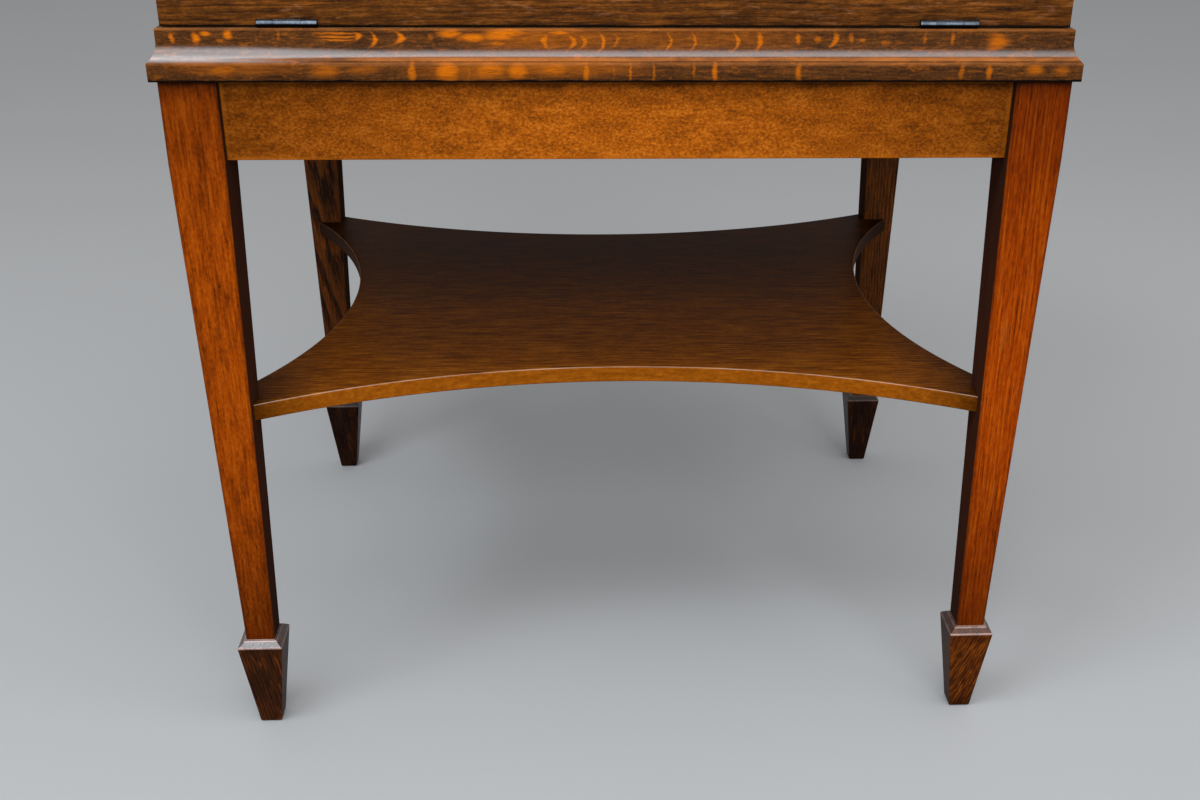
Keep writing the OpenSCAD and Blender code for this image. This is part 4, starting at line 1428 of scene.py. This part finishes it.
@dataclass
class Shelf(Part):
    """Shelf with a hollow in each side, notched round the legs, with a rounded upper edge.

    Args:
        hollow: Depth of each hollow.
        tip: Length of the tips along the legs.
        round_r: Radius of the upper edge.
        fit: Clearance between a notch and its leg.
        steps: Faces along each hollow.
        rubbed: How strong the painted highlight along the crest of each edge is, from the front one
            round by the right.
        hidden: How much painted shade darkens each edge, in the same order.
        under: How much painted shade darkens the underside.
    """

    hollow: float = 0.066
    tip: float = 0.022
    round_r: float = 0.0025
    fit: float = 0.0001
    steps: int = 56
    # Strength of the painted highlight along each edge's crest.
    rubbed: tuple[float, ...] = (1.0, 0.15, 0.15, 0.15)
    hidden: tuple[float, ...] = (0.0, 0.6, 0.4, 0.6)
    under: float = 0.5

    @property
    def name(self) -> str:
        """Name of its object."""
        return "oak_shelf_board"

    def hollow_side(self, chord: float, tip_out: float, inset: Array) -> Array:
        """One hollow side, which faces -Y.

        Formula: a circle through the two tips and the bottom of the hollow, with its radius made
        larger by the inset, read at places spread evenly along the chord.

        Args:
            chord: Half the distance between its tips.
            tip_out: Distance of the tips from the middle of the shelf.
            inset: Inset of each ring.

        Returns:
            Rings of x and y, with the tips first and last.
        """
        radius = (chord**2 + self.hollow**2) / (2 * self.hollow)
        x = np.linspace(-1, 1, self.steps + 1) * chord
        y = np.sqrt((radius + inset[:, None]) ** 2 - x**2) - tip_out + self.hollow - radius
        return np.stack([np.broadcast_to(x, y.shape), y], axis=-1)

    def surface(self) -> Surface:
        """The shelf's surface.

        Formula: rings of four hollow sides, each followed by the inner corner of a leg's notch,
        whose inset and height follow the rounded edge from the underside to the top.

        Returns:
            The surface.
        """
        low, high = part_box(self.node)
        in_x, in_y = high.x - self.tip, high.y - self.tip
        thick = high.z - low.z
        corners = np.array([[1.0, 0.0], [0.0, 0.0], [0.0, thick], [1.0, thick]])
        outline, _ = eased(corners, [0, self.radius, self.round_r, 0], SUPPORT, 6)
        row = len(outline) // len(corners)
        # The crest of the rounded edge carries a line of painted highlight.
        crest = 2 * row + row // 2
        mask = np.interp(np.arange(len(outline)), [crest - 1, crest, crest + 1], [0.0, 1.0, 0.0])
        kept = slice(row, -row)
        (inset, height), mask = outline[kept].T, mask[kept]
        front = self.hollow_side(in_x - self.fit, high.y, inset), [in_x, -in_y]
        side = self.hollow_side(in_y - self.fit, high.x, inset), [in_y, -in_x]
        rings = []
        for turn, (hollow, notch) in enumerate([front, side, front, side]):
            quarter = np.array(Matrix.Rotation(radians(90 * turn), 2))
            inner_corner = np.broadcast_to(notch, (len(hollow), 1, 2))
            points = np.concatenate([hollow, inner_corner], axis=1)
            rings.append(points @ quarter.T)
        flat = np.concatenate(rings, axis=1)
        level = np.broadcast_to((low.z + height)[:, None, None], flat.shape[:2] + (1,))
        # The crest's painted highlight by side, and painted shade on the edges and the underside.
        rubbed, hidden = (np.repeat(by_side, self.steps + 2) for by_side in (self.rubbed, self.hidden))
        edge = (height < thick - self.round_r / 2)[:, None]
        inner = np.maximum(edge * hidden, (height < self.radius)[:, None] * self.under)
        return loft(np.concatenate([flat, level], axis=-1), mask[:, None] * rubbed, inner)


@dataclass
class Moulding(Part):
    """Mitred length of moulding: a flat fillet, a hollow and an upright with an eased top.

    Args:
        radius: Radius of the fillet's lower arris.
        fillet_r: Radius of the fillet's upper arris.
        upright_r: Radius of the upright's front arris, and of its back one.
        fillet_h: Height of the fillet.
        hollow_top: Height at which the hollow runs into the upright.
        ledge: Distance of the upright from the chest.
        fades: Distances over which the wear and painted highlight of the fillet's arris and of the
            upright's fade.
        wear_and_highlights: How pale the fillet's arris, the hollow's lip and the upright's arris are
            made: wear with a painted highlight on the arrises, and a painted highlight on the lip,
                which looks up into the light.
        lip: Height above the fillet of the painted highlight on the hollow's lip.
        lip_w: Half the width of the painted highlight's strip.
        lip_start: Share of the length over which the lip's painted highlight comes to its full
            paleness.
        stations: Where the rings stand, as shares of the length.
        steps: Faces up the hollow.
    """

    radius: float = 0.0007
    fillet_r: float = 0.00042
    upright_r: tuple[float, float] = (0.001, 0.0002)
    fillet_h: float = 0.012
    hollow_top: float = 0.025
    ledge: float = 0.003
    fades: tuple[float, float] = (0.0014, 0.0005)
    wear_and_highlights: tuple[float, float, float] = (0.35, 0.75, 0.35)
    lip: float = 0.0023
    lip_w: float = 0.0015
    lip_start: float = 0.3
    stations: tuple[float, ...] = (0.0, 0.1, 0.2, 0.3, 0.65, 1.0)
    steps: int = 14

    def section(self, out: float, height: float) -> tuple[Array, Array]:
        """Outline of the moulding, as its distance out and its height.

        Formula: the hollow is a part of a circle that is upright at its top, with its distance
        out equal to ledge + r - sqrt(r^2 - (top - z)^2), and the corners are eased.

        Args:
            out: Distance of the fillet's face from the chest.
            height: Height of the moulding.

        Returns:
            The outline's points and the mask of its arrises and of the lip's painted highlight.
        """
        deep, tall = out - self.ledge, self.hollow_top - self.fillet_h
        radius = (deep**2 + tall**2) / (2 * deep)
        z = np.linspace(self.fillet_h, self.hollow_top, self.steps + 1)
        curve = np.stack(
            [self.ledge + radius - np.sqrt(radius**2 - (self.hollow_top - z) ** 2), z], axis=-1
        )
        box = np.array([[0.0, 0.0], [out, 0.0], [out, self.fillet_h], curve[2]])
        foot, foot_mask = eased(box, [0, self.radius, self.fillet_r, 0], self.fades[0])
        top = np.array([curve[-2], [self.ledge, height], [0.0, height], [0.0, 0.0]])
        head, head_mask = eased(top, [0, *self.upright_r, 0], self.fades[1])
        row = len(foot) // len(box)
        points = np.concatenate([
            box[:1], foot[row:3 * row], curve[2:-1], head[row:2 * row], top[2:3]
        ])
        # Pale marks: wear and a painted highlight on the arrises, a painted highlight on the lip where
        # it looks up into the light.
        fillet_wear_and_highlight, lip_highlight, head_wear_and_highlight = self.wear_and_highlights
        lip = np.exp(-((curve[2:-1, 1] - self.fillet_h - self.lip) / self.lip_w) ** 2) * lip_highlight
        fillet = foot_mask[2 * row:3 * row] * fillet_wear_and_highlight
        upright = head_mask[row:2 * row] * head_wear_and_highlight
        return points, np.concatenate([[0] * (row + 1), fillet, lip, upright, [0]])

    def surface(self) -> Surface:
        """The moulding's surface.

        Formula: the section stands at both mitres and at stations between them. At a mitre a
        point that lies further out also lies further along, by as much.

        Returns:
            The surface.
        """
        low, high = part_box(self.node)
        size = high - low
        along = int(size.y > size.x)
        out, half = size[1 - along], size[along] / 2
        section, mask = self.section(out, size.z)
        above = section[:, 1] - self.fillet_h
        lip_share = (above > self.radius) & (above < self.hollow_top - self.fillet_h)
        way = 1 if low[1 - along] > 0 else -1
        face = (high if way > 0 else low)[1 - along]
        reach = np.array(self.stations)[:, None]
        rings = np.empty((len(reach), len(section), 3))
        rings[..., along] = (half - out + section[:, 0]) * (2 * reach - 1)
        rings[..., 1 - along] = face - way * (out - section[:, 0])
        rings[..., 2] = low.z + section[:, 1]
        # The lip's painted highlight fades out towards the first end.
        spread = 1 - (1 - np.clip(reach / self.lip_start, 0, 1)) * lip_share
        return loft(rings, mask * spread)


@dataclass
class Knobs(Part):
    """The four turned knobs of the drawers.

    Args:
        radius: Radius of the foot's arris and of the neck's foot.
        ball_d: Diameter of the ball.
        foot_d: Diameter of the foot.
        foot_t: Thickness of the foot.
        neck_d: Diameter of the neck.
        stud_d: Diameter of the stud.
        length: Distance that a knob stands out from its drawer.
        tip: Angle at which the ball's tip is closed by a flat, in radians.
        steps: Rings on the ball.
    """

    radius: float = 0.0003
    ball_d: float = 0.0125
    foot_d: float = 0.01
    foot_t: float = 0.0012
    neck_d: float = 0.006
    stud_d: float = 0.004
    length: float = 0.016
    tip: float = 0.04
    steps: int = 18

    @property
    def name(self) -> str:
        """Name of its object."""
        return "brass_knobs"

    def profile(self, stud: float) -> Array:
        """Rows of radius and reach, from the end of the stud to the tip.

        Formula: the ball is r = d/2 sin a, h = l - d/2 - d/2 cos a, met by the neck where their
        radii are alike.

        Args:
            stud: Length of the stud.

        Returns:
            The rows.
        """
        ball, neck, foot, ease = self.ball_d / 2, self.neck_d / 2, self.foot_d / 2, self.radius
        angle = np.linspace(np.arcsin(neck / ball), np.pi - self.tip, self.steps)
        head = np.stack([ball * np.sin(angle), self.length - ball - ball * np.cos(angle)], axis=-1)
        rise = np.array([
            [self.stud_d / 2, -stud], [self.stud_d / 2, 0.0], [foot, 0.0], [foot, self.foot_t - ease],
            [foot - ease, self.foot_t], [neck + ease, self.foot_t], [neck, self.foot_t + ease],
        ])
        return np.concatenate([rise, head])

    def surface(self) -> Surface:
        """The knobs' surfaces as one, two on each drawer.

        Returns:
            The surface.
        """
        low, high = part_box(self.node)
        face, ball = low.y + self.length, self.ball_d / 2
        profile = self.profile(high.y - face)
        xs, zs = (ball - high.x, high.x - ball), (low.z + ball, high.z - ball)
        return joined([turned(profile, (x, face, z)) for x in xs for z in zs])


@dataclass
class Stand:
    """The stand: legs, feet, aprons and shelf.

    Args:
        sides: Its sides.
    """

    sides: tuple[str, ...] = SIDES

    def build(self) -> None:
        """Make the stand's pieces.

        Each corner has its leg's oak, pith, lean and flecks, and its foot's oak, lean and slope.
        """
        corners = {
            "front_left": (MOTTLED_LEG, (0.16, 0.02), 0.5, LEG_FLECKS, FOOT, 9.0, 0.0),
            "front_right": (LINED_LEG, (0.1, 0.1), 0.5, (), STREAKED_FOOT, 3.0, -25.0),
            "back_left": (ARCHED_LEG, (-0.045, 0.004), 4.5, (), DIM_FOOT, 3.0, 0.0),
            "back_right": (DARK_LEG, (-0.05, 0.055), 2.0, BACK_LEG_FLECKS, DIM_FOOT, 5.0, 0.0),
        }
        for i, (corner, row) in enumerate(corners.items()):
            leg_oak, pith, lean, flecks, foot_oak, foot_lean, slope = row
            Leg(f"leg_{corner}", leg_oak, Cut(pith, 0.9 * i, lean, flecks=flecks)).build()
            foot_cut = Cut(pith[::-1], 0.3 + 0.7 * i, foot_lean, slope)
            Foot(f"foot_{corner}", foot_oak, foot_cut).build()
        for i, side in enumerate(self.sides):
            Apron(f"apron_{side}", APRON, Cut((0.12, 0.05 + 0.01 * i), 1.1 * i, 0.8)).build()
        Shelf("shelf", SHELF, Cut((0.03, 0.11), 0.4, 0.5)).build()


@dataclass
class Chest:
    """The chest with its moulding, well and drawers.

    Args:
        sides: The sides that the moulding runs round.
        levels: Its drawers.
    """

    sides: tuple[str, ...] = SIDES
    levels: tuple[str, ...] = ("lower", "upper")

    def build(self) -> None:
        """Make the chest's pieces."""
        for i, side in enumerate(self.sides):
            flecks = MOULDING_FLECKS if side == "front" else ()
            cut = Cut((0.2, 0.09), 0.37 * i, 1.5, flecks=flecks)
            Moulding(f"moulding_{side}", MOULDING, cut).build()
        for i, side in enumerate(self.sides[2:]):
            cut = Cut((0.03, 0.02 + 0.02 * i), 0.6 * i, 1.2)
            Part(f"chest_side_{side}", CHEST, cut).build()
        JointedBoard("chest_back", CHEST, Cut((0.04, -0.03), 0.5, 1.4)).build()
        Part("well_rail", CHEST, Cut((0.05, 0.05), 2.2)).build()
        for i, level in enumerate(self.levels):
            cut = Cut((0.05, 0.02 + 0.03 * i), 1.3 + i, 1.0)
            JointedBoard(f"{level}_drawer_front", CHEST, cut).build()
        Knobs("drawer_knobs", BRASS).build()

    def carcass(self) -> None:
        """Dress the hidden boards, which keep their CAD meshes."""
        along_y = (
            "frame_rail_left", "frame_rail_right", "drawer_runners", "lower_drawer_left",
            "lower_drawer_right", "upper_drawer_left", "upper_drawer_right",
        )
        along_x = (
            "frame_rail_front", "frame_rail_back", "chest_bottom", "lower_drawer_back",
            "upper_drawer_back", "shelf_dowels",
        )
        lined = ("well_board", "lower_drawer_bottom", "upper_drawer_bottom")
        lots = (
            (CARCASS, Grain.ALONG_Y, along_y), (CARCASS, Grain.ALONG_X, along_x),
            (replace(CARCASS, lined=True), Grain.ALONG_X, lined),
        )
        for finish, grain, nodes in lots:
            for i, node in enumerate(nodes):
                cut = Cut((0.04, 0.03 + 0.01 * i), 0.21 * i, grain=grain)
                finish.dress(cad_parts[node], cut)
        for tray in ("well", "lower_drawer", "upper_drawer"):
            BAIZE.dress(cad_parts[tray + "_racks"])


@dataclass
class Openings:
    """The flap, the lid and their fittings.

    Args:
        fittings: Their fittings, by metal and body.
    """

    fittings: dict[tuple[Metal, str], tuple[str, ...]] = field(default_factory=lambda: {
        (STEEL, ROOT): (
            "flap_hinge_left_base_leaf", "flap_hinge_right_base_leaf", "flap_hinge_pins",
            "flap_hinge_base_screws",
        ),
        (STEEL, FLAP): (
            "flap_hinge_left_flap_leaf", "flap_hinge_right_flap_leaf", "flap_hinge_flap_screws",
        ),
        (BRASS, ROOT): ("lid_hinge_case_leaves", "lid_hinge_pins", "lid_hinge_case_screws"),
        (BRASS, LID): ("lid_hinge_lid_leaves", "lid_hinge_lid_screws"),
        (BRASS, FLAP): ("escutcheon", "lock_case"),
        (BRASS, BOLT): ("lock_bolt",),
    })

    def build(self) -> None:
        """Make the moving pieces and the fittings that hold them."""
        JointedBoard("flap", CHEST, Cut((0.05, 0.13), 0.8, 0.9), FLAP).build()
        JointedBoard("lid", replace(CHEST, borders=()), Cut((-0.06, 0.05), 2.7, 1.3), LID).build()
        for (metal, body), nodes in self.fittings.items():
            for node in nodes:
                Fitting(node, metal, body=body).build()


# Studio

@dataclass(frozen=True)
class Viewpoint:
    """The camera, at the angle and distance of the reference picture.

    Args:
        place: Its place in metres.
        down: Angle below the level, in radians.
        right: Angle to the right of +Y, in radians.
        tilt: Angle about its own axis, in radians.
        focal: Focal length in pixels of the picture.
        middle: Pixel that its axis meets.
        frame_w: Width of the picture in pixels.
        frame_h: Height of the picture in pixels.
        film_w: Width of the film in millimetres.
    """

    place: Point = (-0.03527, -1.19626, 0.7177)
    down: float = 0.4462
    right: float = 0.0542
    tilt: float = 0.0107
    focal: float = 1409.35
    middle: tuple[float, float] = (642.35, 431.95)
    frame_w: float = 1200.0
    frame_h: float = 800.0
    film_w: float = 36.0

    def build(self) -> None:
        """Make the camera and set it as the scene's."""
        level = Vector((cos(self.right), -sin(self.right), 0.0))
        ahead = Vector((sin(self.right), cos(self.right), 0.0)) * cos(self.down)
        ahead.z = -sin(self.down)
        rise = level.cross(ahead)
        x = level * cos(self.tilt) + rise * sin(self.tilt)
        y = rise * cos(self.tilt) - level * sin(self.tilt)
        lens = bpy.data.cameras.new("camera")
        lens.sensor_width = self.film_w
        lens.lens = self.focal / self.frame_w * self.film_w
        lens.shift_x = (self.frame_w / 2 - self.middle[0]) / self.frame_w
        lens.shift_y = (self.middle[1] - self.frame_h / 2) / self.frame_w
        camera = added("camera", lens)
        turn = Matrix((x, y, -ahead)).transposed().to_4x4()
        camera.matrix_world = Matrix.Translation(self.place) @ turn
        bpy.context.scene.camera = camera


@dataclass(frozen=True)
class Lamp:
    """A soft rectangular lamp that points at the cabinet.

    Args:
        name: Its name.
        place: Its place in metres.
        size: Its width and height in metres.
        power: Its power in watts.
        colour: Its colour.
        aim: The point that it faces.
    """

    name: str
    place: Point
    size: tuple[float, float]
    power: float
    colour: Point = (1.0, 1.0, 1.0)
    aim: Point = (0.0, 0.0, 0.45)

    def build(self) -> None:
        """Make the lamp."""
        light = bpy.data.lights.new(self.name, "AREA")
        light.shape = "RECTANGLE"
        light.size, light.size_y = self.size
        light.energy, light.color = self.power, self.colour
        lamp = added(self.name, light)
        lamp.location = self.place
        ahead = Vector(self.aim) - Vector(self.place)
        lamp.rotation_euler = ahead.to_track_quat("-Z", "Y").to_euler()


def lit_level(graph: Graph, seen: float, unseen: float) -> Socket:
    """A level that is one to the camera, in reflections and through clear things, and else another.

    Args:
        graph: The tree's graph.
        seen: The level on those rays.
        unseen: The level on all others.

    Returns:
        The level.
    """
    rays = graph.add("LightPath").outputs
    kinds = graph.most(rays["Is Camera Ray"], rays["Is Glossy Ray"])
    kinds = graph.most(kinds, rays["Is Transmission Ray"])
    return graph.times(kinds, seen - unseen, unseen)


@dataclass(frozen=True)
class FloorPaint(Finish):
    """Matt, slightly cloudy paint.

    Args:
        grey: Its grey, as linear light.
        seen: Its grey to the camera and in reflections, as linear light.
    """

    grey: float = 0.32
    seen: float = 0.5

    def look(self, graph: Graph, box: Box, cut: Cut) -> dict[str, Any]:
        """Clouded grey.

        Args:
            graph: The material's graph.
            box: Lowest and highest corner of the piece.
            cut: How its board was cut, if it is one.

        Returns:
            The values and sockets, by the names of the shader's inputs.
        """
        place = graph.add("TexCoord").outputs["Object"]
        cloud = graph.times(graph.noise(place, 3, 3, 4.0), -0.024, 1.0)
        grey = graph.times(lit_level(graph, self.seen, self.grey), cloud)
        return {"Base Color": graph.grey(grey), "Roughness": 0.7, "Specular IOR Level": 0.2}


@dataclass(frozen=True)
class Studio:
    """Floor, background and lamps.

    Args:
        floor_half: Half the width of the floor.
        air_seen: Grey of the background, as linear light.
        air_strength: Strength of the light from all round.
        air_colour: Its colour.
        cool: Colour of the cooler lamps.
    """

    floor_half: float = 14.0
    air_seen: float = 0.5
    air_strength: float = 0.45
    air_colour: tuple[float, ...] = (0.97, 0.985, 1.0, 1.0)
    cool: Point = (0.86, 0.93, 1.0)

    def floor(self) -> None:
        """Make the plain pale floor."""
        mesh = bpy.data.meshes.new("floor")
        corners = [(*corner, 0.0) for corner in (SQUARE * self.floor_half).tolist()]
        mesh.from_pydata(corners, [], [(0, 1, 2, 3)])
        floor = added("floor", mesh)
        FloorPaint("floor").dress(floor)

    def air(self) -> None:
        """Light the scene evenly from all round, over a pale background."""
        world = bpy.data.worlds.new("air")
        bpy.context.scene.world = world
        world.use_nodes = True
        graph = Graph(world.node_tree)
        strength = lit_level(graph, self.air_seen, self.air_strength)
        feeds = {"Strength": strength, "Color": self.air_colour}
        graph.feed(world.node_tree.nodes["Background"], feeds)

    def build(self) -> None:
        """Make the floor, the background and the lamps."""
        self.floor()
        self.air()
        Lamp("overhead", (0.3, -0.9, 2.6), (2.6, 1.6), 20.0).build()
        Lamp("window", (-0.95, -1.0, 2.4), (0.9, 0.8), 18.0, self.cool).build()
        Lamp("front", (0.2, -3.0, 1.7), (2.8, 1.6), 62.0, self.cool).build()
        bpy.context.scene.view_settings.view_transform = "Standard"


def main() -> None:
    """Build the camera, the studio and every piece, in the order of the cabinet's making."""
    logging.basicConfig(level=logging.INFO, format="%(name)s %(message)s")
    Viewpoint().build()
    Studio().build()
    Stand().build()
    chest = Chest()
    chest.build()
    chest.carcass()
    Openings().build()


if __name__ == "__main__":
    main()
